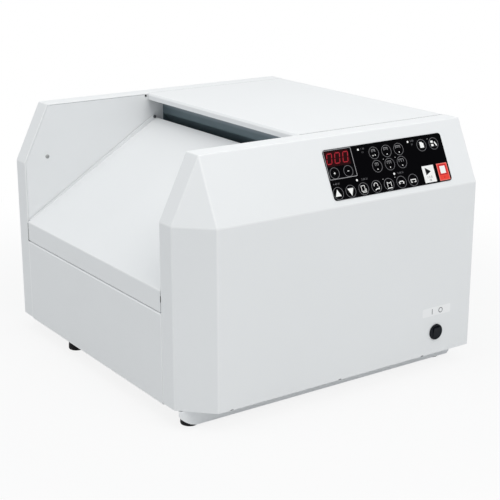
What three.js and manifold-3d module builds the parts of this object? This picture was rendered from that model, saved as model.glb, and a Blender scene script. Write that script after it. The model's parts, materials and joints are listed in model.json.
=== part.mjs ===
// A desk booklet maker. A set of sheets slides down a sloping path from a slot at the right end, is
// stapled along its middle, is pushed by a knife between two fold rollers and comes out as a booklet
// over the top of the white deck, which it slides down.
// Millimetres. +X runs to the operator's right, +Y away from the operator, +Z up. The origin lies on
// the table, below the middle of the two side housings.

import * as THREE from 'three';
import { mergeVertices } from 'three/addons/utils/BufferGeometryUtils.js';
import { ConvexGeometry } from 'three/addons/geometries/ConvexGeometry.js';
import Module from 'manifold-3d';

const wasm = await Module();
wasm.setup();

// Driving sizes of the housings.
const length = 480;
const depth = 540;
const coverHeight = 332.5;
const coverBottom = 27;
const shoulder = 247;
const bevelRun = 41.5;
const slopeRun = 41.5;
const housingWidth = 71;
const coverWall = 2;

// Gaps and seats.
const seam = 0.4;
const fit = 0.3;
const overrun = 5;

// Sheets, plates and bends.
const panelWall = 1.5;
const guideWall = 1;
const sidePlateWall = 2;
const panelFlange = 12;
const bendRadius = 2.5;

// Round parts.
const sides = 20;
const arcSteps = 4;

const coverTop = coverBottom + coverHeight;
const halfLength = length / 2;
const halfDepth = depth / 2;
const innerHalf = halfDepth - housingWidth;
const slopeRise = coverHeight - shoulder;

// Solids: a closed three.js geometry goes in, and joined or cut solids come back.
const weldDistance = 1e-4;

function toSolid(geometry) {
  const bare = geometry.index ? geometry.clone() : geometry;
  bare.deleteAttribute('normal');
  bare.deleteAttribute('uv');
  const merged = mergeVertices(bare, weldDistance);
  const index = merged.index.array;
  const kept = [];
  for (let i = 0; i < index.length; i += 3) {
    const [a, b, c] = [index[i], index[i + 1], index[i + 2]];
    if (a !== b && b !== c && c !== a) kept.push(a, b, c);
  }
  const vertProperties = new Float32Array(merged.attributes.position.array);
  return new wasm.Manifold(new wasm.Mesh({ numProp: 3, vertProperties, triVerts: new Uint32Array(kept) }));
}

function toGeometry(solid) {
  const mesh = solid.getMesh();
  const geometry = new THREE.BufferGeometry();
  geometry.setAttribute('position', new THREE.BufferAttribute(new Float32Array(mesh.vertProperties), 3));
  geometry.setIndex(new THREE.BufferAttribute(new Uint32Array(mesh.triVerts), 1));
  geometry.computeVertexNormals();
  return geometry;
}

function join(...solids) {
  return solids.reduce((sum, next) => sum.add(next));
}

function cut(solid, ...tools) {
  return tools.reduce((rest, next) => rest.subtract(next), solid);
}

function block([x0, x1], [y0, y1], [z0, z1]) {
  const geometry = new THREE.BoxGeometry(x1 - x0, y1 - y0, z1 - z0);
  geometry.translate((x0 + x1) / 2, (y0 + y1) / 2, (z0 + z1) / 2);
  return toSolid(geometry);
}

// A prism along Y from an outline of [x, z] points.
function prism(outline, [y0, y1], hole) {
  const shape = new THREE.Shape(outline.map(([x, z]) => new THREE.Vector2(x, z)));
  if (hole) shape.holes.push(new THREE.Path(hole.map(([x, z]) => new THREE.Vector2(x, z))));
  const geometry = new THREE.ExtrudeGeometry(shape, { depth: y1 - y0, bevelEnabled: false });
  geometry.rotateX(Math.PI / 2);
  geometry.translate(0, y1, 0);
  return toSolid(geometry);
}

// A prism along X from an outline of [y, z] points.
function prismAlongX(outline, [x0, x1]) {
  const shape = new THREE.Shape(outline.map(([y, z]) => new THREE.Vector2(y, z)));
  const geometry = new THREE.ExtrudeGeometry(shape, { depth: x1 - x0, bevelEnabled: false });
  const turn = new THREE.Matrix4();
  turn.makeBasis(new THREE.Vector3(0, 1, 0), new THREE.Vector3(0, 0, 1), new THREE.Vector3(1, 0, 0));
  geometry.applyMatrix4(turn);
  geometry.translate(x0, 0, 0);
  return toSolid(geometry);
}

function rodAlongY(radius, [y0, y1], [x, z] = [0, 0], steps = sides) {
  const geometry = new THREE.CylinderGeometry(radius, radius, y1 - y0, steps);
  geometry.translate(x, (y0 + y1) / 2, z);
  return toSolid(geometry);
}

function rodAlongZ(radius, [z0, z1], [x, y] = [0, 0], steps = sides, topRadius = radius) {
  const geometry = new THREE.CylinderGeometry(topRadius, radius, z1 - z0, steps);
  geometry.rotateX(Math.PI / 2);
  geometry.translate(x, y, (z0 + z1) / 2);
  return toSolid(geometry);
}

function rodAlongX(radius, [x0, x1], [y, z] = [0, 0], steps = sides) {
  const geometry = new THREE.CylinderGeometry(radius, radius, x1 - x0, steps);
  geometry.rotateZ(Math.PI / 2);
  geometry.translate((x0 + x1) / 2, y, z);
  return toSolid(geometry);
}

// A stepped shaft or roller along Y: rows of [radius, y] from one end to the other.
function turned(steps, [x, z] = [0, 0], count = sides) {
  const [first, last] = [steps[0], steps[steps.length - 1]];
  const profile = [[0, first[1]], ...steps, [0, last[1]]];
  const geometry = new THREE.LatheGeometry(profile.map(([r, y]) => new THREE.Vector2(r, y)), count);
  geometry.translate(x, 0, z);
  return toSolid(geometry);
}

// The convex solid inside a set of planes, each given as an outward normal and a point on it.
function plane(normal, point, inset = 0) {
  const unit = new THREE.Vector3(...normal).normalize();
  return new THREE.Plane(unit, inset - unit.dot(new THREE.Vector3(...point)));
}

function meetingPoint(a, b, c) {
  const bc = new THREE.Vector3().crossVectors(b.normal, c.normal);
  const ca = new THREE.Vector3().crossVectors(c.normal, a.normal);
  const ab = new THREE.Vector3().crossVectors(a.normal, b.normal);
  const volume = a.normal.dot(bc);
  if (Math.abs(volume) < weldDistance) return null;
  bc.multiplyScalar(a.constant);
  ca.multiplyScalar(b.constant);
  ab.multiplyScalar(c.constant);
  return bc.add(ca).add(ab).multiplyScalar(-1 / volume);
}

function insidePlanes(planes) {
  const corners = [];
  planes.forEach((a, i) => planes.slice(i + 1).forEach((b, j) => planes.slice(i + j + 2).forEach((c) => {
    const point = meetingPoint(a, b, c);
    if (!point || planes.some((side) => side.distanceToPoint(point) > weldDistance)) return;
    if (corners.every((corner) => corner.distanceTo(point) > weldDistance)) corners.push(point);
  })));
  return toSolid(new ConvexGeometry(corners));
}

// A bent sheet: the outer line is rounded at its corners and thickened to its right side.
function roundedLine(points, radius) {
  const line = [];
  points.forEach(([x, z], i) => {
    const before = points[i - 1];
    const after = points[i + 1];
    if (!before || !after) {
      line.push([x, z]);
      return;
    }
    const corner = new THREE.Vector2(x, z);
    const back = new THREE.Vector2(...before).sub(corner).normalize();
    const ahead = new THREE.Vector2(...after).sub(corner).normalize();
    const half = Math.acos(THREE.MathUtils.clamp(back.dot(ahead), -1, 1)) / 2;
    const reach = radius / Math.tan(half);
    const centre = back.clone().add(ahead).normalize().multiplyScalar(radius / Math.sin(half)).add(corner);
    const start = back.multiplyScalar(reach).add(corner).sub(centre);
    const end = ahead.multiplyScalar(reach).add(corner).sub(centre);
    const turn = Math.atan2(start.cross(end), start.dot(end));
    for (let step = 0; step <= arcSteps; step += 1) {
      const point = start.clone().rotateAround(new THREE.Vector2(), turn * step / arcSteps).add(centre);
      line.push([point.x, point.y]);
    }
  });
  return line;
}

function thickened(line, thickness) {
  const offset = line.map((point, i) => {
    const normals = [];
    [[i - 1, i], [i, i + 1]].forEach(([from, to]) => {
      if (!line[from] || !line[to]) return;
      const along = new THREE.Vector2(line[to][0] - line[from][0], line[to][1] - line[from][1]).normalize();
      normals.push(new THREE.Vector2(along.y, -along.x));
    });
    const mean = normals.reduce((sum, normal) => sum.add(normal), new THREE.Vector2()).normalize();
    const shift = mean.multiplyScalar(thickness / mean.dot(normals[0]));
    return [point[0] + shift.x, point[1] + shift.y];
  });
  return [...line, ...offset.reverse()];
}

function bentSheet(points, thickness, span, radius = bendRadius) {
  return prism(thickened(roundedLine(points, radius), thickness), span);
}

// Gears. Tooth flanks are involutes at this pressure angle, thinned by the backlash.
const pressureAngle = THREE.MathUtils.degToRad(20);
const addendumShare = 0.95;
const dedendumShare = 1.2;
const flankSteps = 2;
const involute = (angle) => Math.tan(angle) - angle;

function gearOutline(teeth, pitchModule, backlash, phase = 0) {
  const pitch = teeth * pitchModule / 2;
  const base = pitch * Math.cos(pressureAngle);
  const root = pitch - dedendumShare * pitchModule;
  const tip = pitch + addendumShare * pitchModule;
  const halfTooth = Math.PI / (2 * teeth) - backlash / (2 * pitch);
  const widest = halfTooth + involute(pressureAngle);
  const halfAt = (radius) => widest - involute(Math.acos(Math.min(1, base / radius)));
  const start = Math.max(base, root);
  const outline = [];
  for (let tooth = 0; tooth < teeth; tooth += 1) {
    const middle = phase + tooth * 2 * Math.PI / teeth;
    const flank = [[root, halfAt(start)]];
    for (let step = 0; step <= flankSteps; step += 1) {
      const radius = start + (tip - start) * step / flankSteps;
      flank.push([radius, halfAt(radius)]);
    }
    if (start === root) flank.shift();
    const rising = flank.map(([r, half]) => [r, middle - half]);
    const falling = flank.map(([r, half]) => [r, middle + half]).reverse();
    [...rising, ...falling].forEach(([r, angle]) => outline.push([r * Math.cos(angle), r * Math.sin(angle)]));
  }
  return outline;
}

function circle(radius, [x, z] = [0, 0], steps = sides) {
  return Array.from({ length: steps }, (_, i) => {
    const angle = 2 * Math.PI * i / steps;
    return [x + radius * Math.cos(angle), z + radius * Math.sin(angle)];
  });
}

// A straight rack: teeth along the first axis, pointing up the second, pitch line at zero.
function rackOutline(teeth, pitchModule, backlash, backing) {
  const pitch = Math.PI * pitchModule;
  const tip = addendumShare * pitchModule;
  const root = -dedendumShare * pitchModule;
  const half = pitch / 4 - backlash / 2;
  const outline = [[-teeth * pitch / 2, -backing]];
  outline.push([-teeth * pitch / 2, root]);
  for (let tooth = 0; tooth < teeth; tooth += 1) {
    const middle = (tooth - (teeth - 1) / 2) * pitch;
    const lean = Math.tan(pressureAngle);
    outline.push([middle - half + root * lean, root]);
    outline.push([middle - half + tip * lean, tip]);
    outline.push([middle + half - tip * lean, tip]);
    outline.push([middle + half - root * lean, root]);
  }
  outline.push([teeth * pitch / 2, root]);
  outline.push([teeth * pitch / 2, -backing]);
  return outline;
}

// A belt round two pulleys in the X-Z plane: the outer line of both circles' common hull.
function hullOfCircles([x0, z0], r0, [x1, z1], r1) {
  const distance = Math.hypot(x1 - x0, z1 - z0);
  const direction = Math.atan2(z1 - z0, x1 - x0);
  const open = Math.acos((r0 - r1) / distance);
  const line = [];
  for (let step = 0; step <= sides; step += 1) {
    const angle = direction + open + (2 * Math.PI - 2 * open) * step / sides;
    line.push([x0 + r0 * Math.cos(angle), z0 + r0 * Math.sin(angle)]);
  }
  for (let step = 0; step <= sides; step += 1) {
    const angle = direction - open + 2 * open * step / sides;
    line.push([x1 + r1 * Math.cos(angle), z1 + r1 * Math.sin(angle)]);
  }
  return line;
}

// Finishes.
function finish(colour, roughness, metalness) {
  return () => new THREE.MeshStandardMaterial({ color: colour, roughness, metalness });
}

const paint = finish(0xe6e9eb, 0.45, 0);
const pan = finish(0xc9cdd0, 0.5, 0.1);
const steel = finish(0x9a9da0, 0.35, 0.9);
const zinc = finish(0xb9bcb8, 0.4, 0.8);
const blackPlastic = finish(0x141516, 0.45, 0);
const rubber = finish(0x0f0f10, 0.85, 0);
const rollerRubber = finish(0x3c3d40, 0.8, 0);
const nylon = finish(0xdedbd0, 0.55, 0);
const overlayFilm = finish(0x0c0d0f, 0.2, 0);
const boardGreen = finish(0x1d5a3a, 0.5, 0);
const motorGrey = finish(0x4b4e52, 0.5, 0.5);

const machine = new THREE.Group();

function place(name, shape, material, parent = machine) {
  const mesh = new THREE.Mesh(toGeometry(shape), material());
  mesh.name = name;
  parent.add(mesh);
}

// The base: a pressed pan on four feet, with a deep apron along the near side and a low rim along the
// far side. Its plate stops short of the left end panel.
const panWall = 2;
const panInset = 32;
const panLeftInset = 2;
const panRightInset = 6;
const panHalfDepth = halfDepth - panInset;
const panLeft = halfLength - panLeftInset;
const panRight = halfLength - panRightInset;
const apronBottom = 3.7;
const apronTop = coverBottom - fit;
const apronCornerRun = 25;
const apronCornerRise = 17.5;
const apronCornerShares = [[0, 1], [0.12, 0.72], [0.35, 0.44], [0.65, 0.17], [1, 0]];
const plateInset = 11;
const apronCornerSmall = 4;
const footRadius = 12.5;
const footTopRadius = 11;
const footHeight = 18;
const footSideInset = 25.5;
const footNearInset = 17;
const farFootShare = 104 / 238;
const footX = panLeft - footSideInset;
const nearFootY = footNearInset - panHalfDepth;
const farFootY = farFootShare * panHalfDepth;
const footBolt = 4;
const footBoltLength = 8;
const panBottom = footHeight + fit;
const panTop = panBottom + panWall;

function basePan() {
  const corner = apronCornerShares.map(([run, rise]) => (
    [-panLeft + run * apronCornerRun, apronBottom + rise * apronCornerRise]));
  const apron = [
    [-panLeft, apronTop],
    ...corner,
    [panRight - apronCornerSmall, apronBottom],
    [panRight, apronBottom + apronCornerSmall],
    [panRight, apronTop],
  ];
  const span = [plateInset - panLeft, panRight];
  const plate = block(span, [-panHalfDepth, panHalfDepth], [panBottom, panTop]);
  const near = prism(apron, [-panHalfDepth, -panHalfDepth + panWall]);
  const far = block(span, [panHalfDepth - panWall, panHalfDepth], [panBottom, apronTop]);
  const through = [panBottom - overrun, panTop + overrun];
  const holes = footPlaces().map((where) => rodAlongZ(footBolt + fit, through, where));
  return cut(join(plate, near, far), ...holes);
}

function footPlaces() {
  return [[-footX, nearFootY], [-footX, farFootY], [footX, nearFootY], [footX, farFootY]];
}

function foot([x, y]) {
  const pad = rodAlongZ(footRadius, [0, footHeight], [x, y], sides, footTopRadius);
  return join(pad, rodAlongZ(footBolt, [footHeight - fit, footHeight + footBoltLength], [x, y]));
}

place('base_pan', basePan(), pan);
const footNames = ['foot_near_left', 'foot_far_left', 'foot_near_right', 'foot_far_right'];
footPlaces().forEach((where, i) => place(footNames[i], foot(where), rubber));

// The two side housings: folded covers with a bevelled front corner, a sloping shoulder and a
// three-sided facet where these meet. Below, a wide flange turns in over the pan's apron. The far cover
// mirrors the near one.
const floorFlangeOver = 10;
const floorEndFlange = 8;
const switchRight = 65.4;
const switchX = halfLength - switchRight;
const switchZ = 60.2;
const switchBarrel = 10;
const switchRim = 11.6;

// The upright outline that the cover shares with its side plate, seen along Y.
function outlinePlanes(inset, bottomDrop = 0) {
  return [
    plane([-1, 0, 0], [-halfLength, 0, 0], inset),
    plane([1, 0, 0], [halfLength, 0, 0], inset),
    plane([0, 0, 1], [0, 0, coverTop], inset),
    plane([0, 0, -1], [0, 0, coverBottom - bottomDrop]),
    plane([-slopeRise, 0, bevelRun], [-halfLength, 0, coverBottom + shoulder], inset),
  ];
}

function coverPlanes(inset, innerPlane, bottomDrop) {
  const shoulderZ = coverBottom + shoulder;
  return [
    ...outlinePlanes(inset, bottomDrop),
    plane([0, -1, 0], [0, -halfDepth, 0], inset),
    plane([0, 1, 0], [0, innerPlane, 0]),
    plane([0, -slopeRise, slopeRun], [0, -halfDepth, shoulderZ], inset),
    plane([-slopeRun, -bevelRun, 0], [-halfLength, -halfDepth + slopeRun, 0], inset),
    plane([-slopeRise * slopeRun, -bevelRun * slopeRise, bevelRun * slopeRun],
      [-halfLength, -halfDepth + slopeRun, shoulderZ], inset),
  ];
}

function coverShell() {
  const back = -innerHalf - coverWall;
  const outer = insidePlanes(coverPlanes(0, -innerHalf, 0));
  const hollow = insidePlanes(coverPlanes(coverWall, back, -coverWall));
  const mouth = insidePlanes([
    ...outlinePlanes(coverWall, overrun),
    plane([0, -1, 0], [0, back - coverWall, 0]),
    plane([0, 1, 0], [0, -innerHalf + overrun, 0]),
  ]);
  const floorHalf = halfLength - floorEndFlange;
  const floor = block([-floorHalf, floorHalf], [floorFlangeOver - panHalfDepth, back],
    [coverBottom - overrun, coverBottom + coverWall + fit]);
  return cut(outer, hollow, mouth, floor);
}

// The control panel lies on the near cover's sloping shoulder. Its frame has X along the machine,
// Y up the slope from the shoulder line, and Z outwards.
const overlayInset = 44;
const overlayLength = 208.5;
const overlayRight = halfLength - overlayInset;
const overlayLeft = overlayRight - overlayLength;
const overlayLow = 8;
const overlayTopInset = 18;
const overlayHigh = Math.hypot(slopeRise, slopeRun) - overlayTopInset;
const overlayThickness = 1;
const overlaySunk = 0.2;
const overlayCorner = 5;
const displayIn = 21.5;
const displayX = overlayLeft + displayIn;
const displayDrop = 13;
const displayUp = overlayHigh - displayDrop;
const displayHalfWidth = 22;
const displayHalfHeight = 9;
const controlSlope = new THREE.Group();
controlSlope.position.set(0, -halfDepth, coverBottom + shoulder);
controlSlope.rotation.x = Math.atan2(slopeRise, slopeRun);
machine.add(controlSlope);

function roundedSlab([x0, x1], [y0, y1], corner, [z0, z1]) {
  const shape = new THREE.Shape();
  shape.moveTo(x0 + corner, y0);
  shape.lineTo(x1 - corner, y0);
  shape.absarc(x1 - corner, y0 + corner, corner, -Math.PI / 2, 0);
  shape.lineTo(x1, y1 - corner);
  shape.absarc(x1 - corner, y1 - corner, corner, 0, Math.PI / 2);
  shape.lineTo(x0 + corner, y1);
  shape.absarc(x0 + corner, y1 - corner, corner, Math.PI / 2, Math.PI);
  shape.lineTo(x0, y0 + corner);
  shape.absarc(x0 + corner, y0 + corner, corner, Math.PI, 3 * Math.PI / 2);
  const settings = { depth: z1 - z0, bevelEnabled: false, curveSegments: arcSteps };
  const geometry = new THREE.ExtrudeGeometry(shape, settings);
  geometry.translate(0, 0, z0);
  return toSolid(geometry);
}

// A solid drawn in a group's frame, taken to the machine's frame.
function outOf(group, solid) {
  group.updateMatrixWorld(true);
  const geometry = toGeometry(solid);
  geometry.applyMatrix4(group.matrixWorld);
  return toSolid(geometry);
}

function displayWindow() {
  return block([displayX - displayHalfWidth, displayX + displayHalfWidth],
    [displayUp - displayHalfHeight, displayUp + displayHalfHeight], [-coverWall - overrun, overrun]);
}

function nearCover() {
  const pocket = roundedSlab([overlayLeft - fit, overlayRight + fit], [overlayLow - fit, overlayHigh + fit],
    overlayCorner, [-overlaySunk - fit, overrun]);
  const switchHole = rodAlongY(switchBarrel + fit, [-halfDepth - overrun, -halfDepth + coverWall + overrun],
    [switchX, switchZ]);
  return cut(coverShell(), outOf(controlSlope, pocket), outOf(controlSlope, displayWindow()), switchHole);
}

function mirroredInY(solid) {
  const geometry = toGeometry(solid);
  geometry.scale(1, -1, 1);
  const index = geometry.index.array;
  for (let i = 0; i < index.length; i += 3) [index[i], index[i + 1]] = [index[i + 1], index[i]];
  return toSolid(geometry);
}

place('near_cover', nearCover(), paint);
place('far_cover', mirroredInY(coverShell()), paint);

function overlay() {
  return roundedSlab([overlayLeft, overlayRight], [overlayLow, overlayHigh], overlayCorner,
    [-overlaySunk, overlayThickness - overlaySunk]);
}

// The circuit board behind the panel, with its display block and its four stand-offs.
const boardWall = 1.6;
const boardInset = 8;
const standOff = 9;
const standOffRadius = 3;

function controlBoard() {
  const top = -coverWall - standOff;
  const plate = block([overlayLeft + boardInset, overlayRight - boardInset],
    [overlayLow, overlayHigh - boardInset], [top - boardWall, top]);
  const display = block([displayX - displayHalfWidth + fit, displayX + displayHalfWidth - fit],
    [displayUp - displayHalfHeight + fit, displayUp + displayHalfHeight - boardInset / 2],
    [top, -coverWall / 2]);
  const posts = [overlayLeft + 2 * boardInset, overlayRight - 2 * boardInset].flatMap((x) => (
    [overlayLow + boardInset, (overlayLow + overlayHigh) / 2].map((y) => (
      rodAlongZ(standOffRadius, [top, -coverWall - fit], [x, y], sides / 2)))));
  return join(plate, display, ...posts);
}

place('control_overlay', overlay(), overlayFilm, controlSlope);
place('control_board', controlBoard(), boardGreen, controlSlope);

// The power switch: a round bezel with a rocker that turns about an axis along X.
const switchDepth = 22;
const bezelProud = 2;
const rockerHalfWidth = 6;
const rockerHalfHeight = 7.5;
const rockerProud = 1.6;
const rockerDepth = 9;
const rockerAxisDepth = 3;

function switchBezel() {
  const face = -halfDepth;
  const rim = rodAlongY(switchRim, [face - bezelProud, face - fit], [switchX, switchZ]);
  const barrel = rodAlongY(switchBarrel, [face - bezelProud, face + switchDepth], [switchX, switchZ]);
  const well = block([switchX - rockerHalfWidth - fit, switchX + rockerHalfWidth + fit],
    [face - bezelProud - overrun, face + rockerDepth + overrun],
    [switchZ - rockerHalfHeight - 3 * fit, switchZ + rockerHalfHeight + 3 * fit]);
  return cut(join(rim, barrel), well);
}

// The rocker's face is two flats that meet over the axis, drawn at the middle of its travel.
const rockerTravel = 14;
const rockerTilt = THREE.MathUtils.degToRad(rockerTravel / 2);
const rockerWaist = 1;

function powerRocker() {
  const front = -rockerAxisDepth - rockerProud;
  const middle = front + rockerHalfHeight * Math.tan(rockerTilt);
  const back = rockerDepth - rockerAxisDepth;
  const low = rockerHalfHeight - rockerWaist;
  const profile = [
    [middle, 0],
    [front, -rockerHalfHeight],
    [back, -low],
    [back, low],
    [front, rockerHalfHeight],
  ];
  return prismAlongX(profile, [-rockerHalfWidth, rockerHalfWidth]);
}

place('power_switch_bezel', switchBezel(), blackPlastic);

const rockerPivot = new THREE.Group();
rockerPivot.position.set(switchX, -halfDepth + rockerAxisDepth - bezelProud, switchZ);
rockerPivot.rotation.x = rockerTilt;
machine.add(rockerPivot);
place('power_rocker', powerRocker(), blackPlastic, rockerPivot);

// The paper path slopes like the deck. Its frame, foldHead, has its origin on the fold line, X up the
// path, Y across the machine, and Z square to the path, towards the deck.
const deckLowX = -halfLength;
const deckLowRise = 155;
const deckLowZ = coverBottom + deckLowRise;
const deckHighX = -8;
const deckHighDrop = 38.3;
const deckHighZ = coverTop - deckHighDrop;
const foldLead = 71.4;
const foldX = deckHighX + foldLead;
const pathDepth = 129.1;
const deckRise = deckHighZ - deckLowZ;
const deckRun = deckHighX - deckLowX;
const slope = Math.atan2(deckRise, deckRun);
const deckLength = Math.hypot(deckRise, deckRun);
const foldZ = deckLowZ + (foldX - deckLowX) * Math.tan(slope) - pathDepth / Math.cos(slope);

const foldHead = new THREE.Group();
foldHead.position.set(foldX, 0, foldZ);
foldHead.rotation.y = -slope;
machine.add(foldHead);

function fromFoldHead([along, up]) {
  return [
    foldX + along * Math.cos(slope) - up * Math.sin(slope),
    foldZ + along * Math.sin(slope) + up * Math.cos(slope),
  ];
}

// The fold rollers and their gears.
const gearModule = 1.5;
const gearTeeth = 19;
const motorTeeth = 17;
const gearBacklash = 0.3;
const nipGap = 0.8;
const gearWidth = 10;
const rollerUp = 20;
const gearCentres = gearTeeth * gearModule + gearBacklash;
const rollerRadius = (gearCentres - nipGap) / 2;
const shaftRadius = 6;
const rollerEndGap = 16;
const rollerHalf = innerHalf - rollerEndGap;

const driveAxis = [-gearCentres / 2, rollerUp];
const idleAxis = [gearCentres / 2, rollerUp];

// The delivery rollers stand higher in the exit channel and are driven by a belt.
const deliveryUp = 96;
const deliveryRadius = 12;
const deliveryShaft = 4;
const deliveryCentres = 2 * deliveryRadius + nipGap;
const deliveryTyreHalf = 14;
const deliveryTyreShares = [-0.68, 0, 0.68];
const deliveryDriveAxis = [-deliveryCentres / 2, deliveryUp];
const deliveryIdleAxis = [deliveryCentres / 2, deliveryUp];
const drivePulley = 13;
const deliveryPulley = 10.5;
const pulleyWidth = 8;
const beltThickness = 1.2;

// The knife slides square to the path on two rods; a rack at each end meets a pinion.
const knifeWall = 1;
const knifeRest = -18;
const knifeHeight = 46;
const knifeSunk = 6;
const knifeEndGap = 30;
const knifeHalf = innerHalf - knifeEndGap;
const carriageHeight = 16;
const carriageHalfThickness = 7;
const carriageTop = knifeRest - knifeHeight;
const rackModule = 1.2;
const pinionTeeth = 16;
const pinionWidth = 10;
const knifeRackTeeth = 15;
const rackBacking = 5;
const rackBacklash = 0.3;
const knifeRackShare = 8 / 13;
const knifeRackY = knifeRackShare * innerHalf;
const guideRodInset = 17;
const guideRodY = innerHalf - guideRodInset;
const carriageEndGap = 7;
const carriageHalf = innerHalf - carriageEndGap;
const guideRodRadius = 4;
const guideRodFoot = -118;
const guideRailHeight = 8;
const guideRailHalf = 9;
const pinionRadius = pinionTeeth * rackModule / 2;
const pinionShaftRadius = 4;
const pinionUp = -70;
const rackPitch = Math.PI * rackModule;
const knifePitchLine = carriageHalfThickness + rackBacking;
const knifePinionAxis = [knifePitchLine + pinionRadius + rackBacklash / 2, pinionUp];
const knifeTravel = 32;
const knifeMotorGrip = 14;
const gearboxHalf = 28;
const gearboxDepth = 22;
const knifeMotorRadius = 22;
const knifeMotorLength = 34;

// The stapling heads, their rail and the clincher bar stand up the path from the fold line.
const stapleAlong = 62;
const headShare = 1 / 3;
const headY = headShare * innerHalf;
const headHalfWidth = 20;
const headHalfLength = 17;
const headBottom = 8;
const headTop = 66;
const headChamfer = 14;
const ramHalfWidth = 7;
const ramHalfThickness = 2;
const ramRest = 14;
const ramTop = 82;
const railHeight = 14;
const railDepth = 12;
const railWall = 2;
const anvilHalfLength = 3;
const anvilHalfWidth = 10;
const clincherHalf = 10;
const clincherTop = -5;
const clincherBottom = -22;
const magazineLength = 46;
const magazineHalfWidth = 7;
const magazineHeight = 18;

// The stop: a bar with three fingers that slides along slots in the lower guide, held by a belt.
const stopRest = -214;
const stopTravel = 120;
const fingerOut = 3;
const fingerY = headY + fingerOut;
const fingerWidth = 8;
const fingerThickness = 4;
const fingerTop = 2.4;
const stopBarOver = 8;
const stopBarNear = -(fingerY + fingerWidth / 2 + stopBarOver);
const stopBarThickness = 10;
const stopBarTop = -8;
const stopBarBottom = -20;
const stopPulley = 8;
const stopPulleyHalf = 5;
const stopBeltInset = 15;
const stopBeltY = innerHalf - stopBeltInset;
const stopBeltHalf = 4;
const stopMotorGrip = 12;
const stopMotorHalf = 21;
const stopMotorLength = 38;
const stopShaft = 2.5;
const stopPulleyUp = stopBarBottom - fit - beltThickness - fit - stopPulley;
const stopPulleyLead = 14;
const stopPulleyTrail = 16;
const stopPulleyLow = [stopRest - stopPulleyLead, stopPulleyUp];
const stopPulleyHigh = [stopRest + stopTravel + stopPulleyTrail, stopPulleyUp];

// The joggers square the set from both sides, above the lower part of the path.
const joggerAlong = -100;
const joggerHalfLength = 34;
const joggerInset = 47;
const joggerRestY = innerHalf - joggerInset;
const joggerTravel = 46;
const joggerWall = 3;
const joggerStem = 10;
const joggerStemShare = 0.75;
const joggerBladeHalf = 2.4;
const joggerRackLow = 12;
const joggerRackHeight = 6;
const joggerRackOver = 14.6;
const joggerRackTeeth = Math.round((joggerRestY + joggerWall + joggerRackOver) / rackPitch);
const joggerPinionOver = 1;
const joggerMotorFloor = 24;
const joggerMotorRadius = 18;
const joggerMotorHeight = 34;
const joggerLegAlong = 30;
const joggerLegWidth = 6;
const joggerShaft = 3;
const joggerPlateWall = 2;

// The paper path's two guides and the exit channel above the fold rollers.
const gapHalf = 3;
const guideHalf = innerHalf - fit;
const lowerGuideLow = -232;
const upperGuideLow = -226;
const lowerGuideGap = 5.1;
const upperGuideGap = 13.7;
const lowerGuideHigh = (halfLength - lowerGuideGap - foldX) / Math.cos(slope);
const upperGuideHigh = (halfLength - upperGuideGap - foldX) / Math.cos(slope);
const channelHalf = 6;
const channelStart = 36;
const channelEnd = 118;
const knifeSlotHalf = 3;
const nipWindowHalf = 9;

// The lid over the fold head and its hinge line near the right end.
const lidOver = 16;
const lidLeft = deckHighX - lidOver;
const lidRightInset = 1.5;
const lidRight = halfLength - lidRightInset;
const lidDrop = 10;
const lidBevel = 3;
const lidRearDrop = 18.5;
const lidGap = 1;
const hingeInset = 12;
const hingeDrop = 13;
const hingeX = halfLength - hingeInset;
const hingeZ = coverTop - hingeDrop;
const hingePin = 3;
const hingePinLength = 4;
const earHalf = 6;

// The deck, with its lip, its side flanges and their pivot at the upper end.
const deckFlange = 6;
const deckFlangeLow = 1.5;
const deckFlangeCorner = 2;
const deckPivotInset = 5;
const deckPivotUp = 3.2;
const deckPin = 1.6;
const deckPinHead = 2.6;
const deckPinHeadWall = 1.2;
const deckSideGap = 1;
const deckHalf = innerHalf - deckSideGap;
const deckLip = 29;
const deckEndDrop = 8;

function deckPoint(along, up) {
  return [
    deckLowX + along * Math.cos(slope) - up * Math.sin(slope),
    deckLowZ + along * Math.sin(slope) + up * Math.cos(slope),
  ];
}

const deckPivot = deckPoint(deckLength - deckPivotInset, deckPivotUp);

// Side plates: they fill the covers' mouths and carry the shafts, guides and bars.
const sideBack = innerHalf + sidePlateWall;
const sideCorner = 14;

function ordered(side, a, b) {
  return side > 0 ? [a, b] : [-b, -a];
}

function sidePlate(side) {
  const span = ordered(side, innerHalf, sideBack);
  const through = [span[0] - overrun, span[1] + overrun];
  const body = insidePlanes([
    ...outlinePlanes(coverWall + fit, coverBottom - panTop - fit),
    plane([0, -1, 0], [0, span[0], 0]),
    plane([0, 1, 0], [0, span[1], 0]),
  ]);
  const bores = [
    ...[driveAxis, idleAxis].map((axis) => [shaftRadius, fromFoldHead(axis)]),
    ...[deliveryDriveAxis, deliveryIdleAxis].map((axis) => [deliveryShaft, fromFoldHead(axis)]),
    [pinionShaftRadius, fromFoldHead(knifePinionAxis)],
    [deckPin, deckPivot],
  ];
  if (side > 0) bores.push([stopShaft, fromFoldHead(stopPulleyLow)]);
  const pin = ordered(side, innerHalf - hingePinLength, innerHalf + fit);
  const studs = [rodAlongY(hingePin, pin, [hingeX, hingeZ])];
  if (side > 0) {
    const stud = [stopBeltY - stopPulleyHalf, innerHalf + fit];
    studs.push(rodAlongY(stopShaft, stud, fromFoldHead(stopPulleyHigh)));
  }
  const drills = bores.map(([radius, where]) => rodAlongY(radius + fit, through, where));
  const corner = block([-halfLength, -halfLength + sideCorner], through, [panTop, coverBottom]);
  return join(cut(body, corner, ...drills), ...studs);
}

place('side_plate_near', sidePlate(-1), paint);
place('side_plate_far', sidePlate(1), paint);

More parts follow.
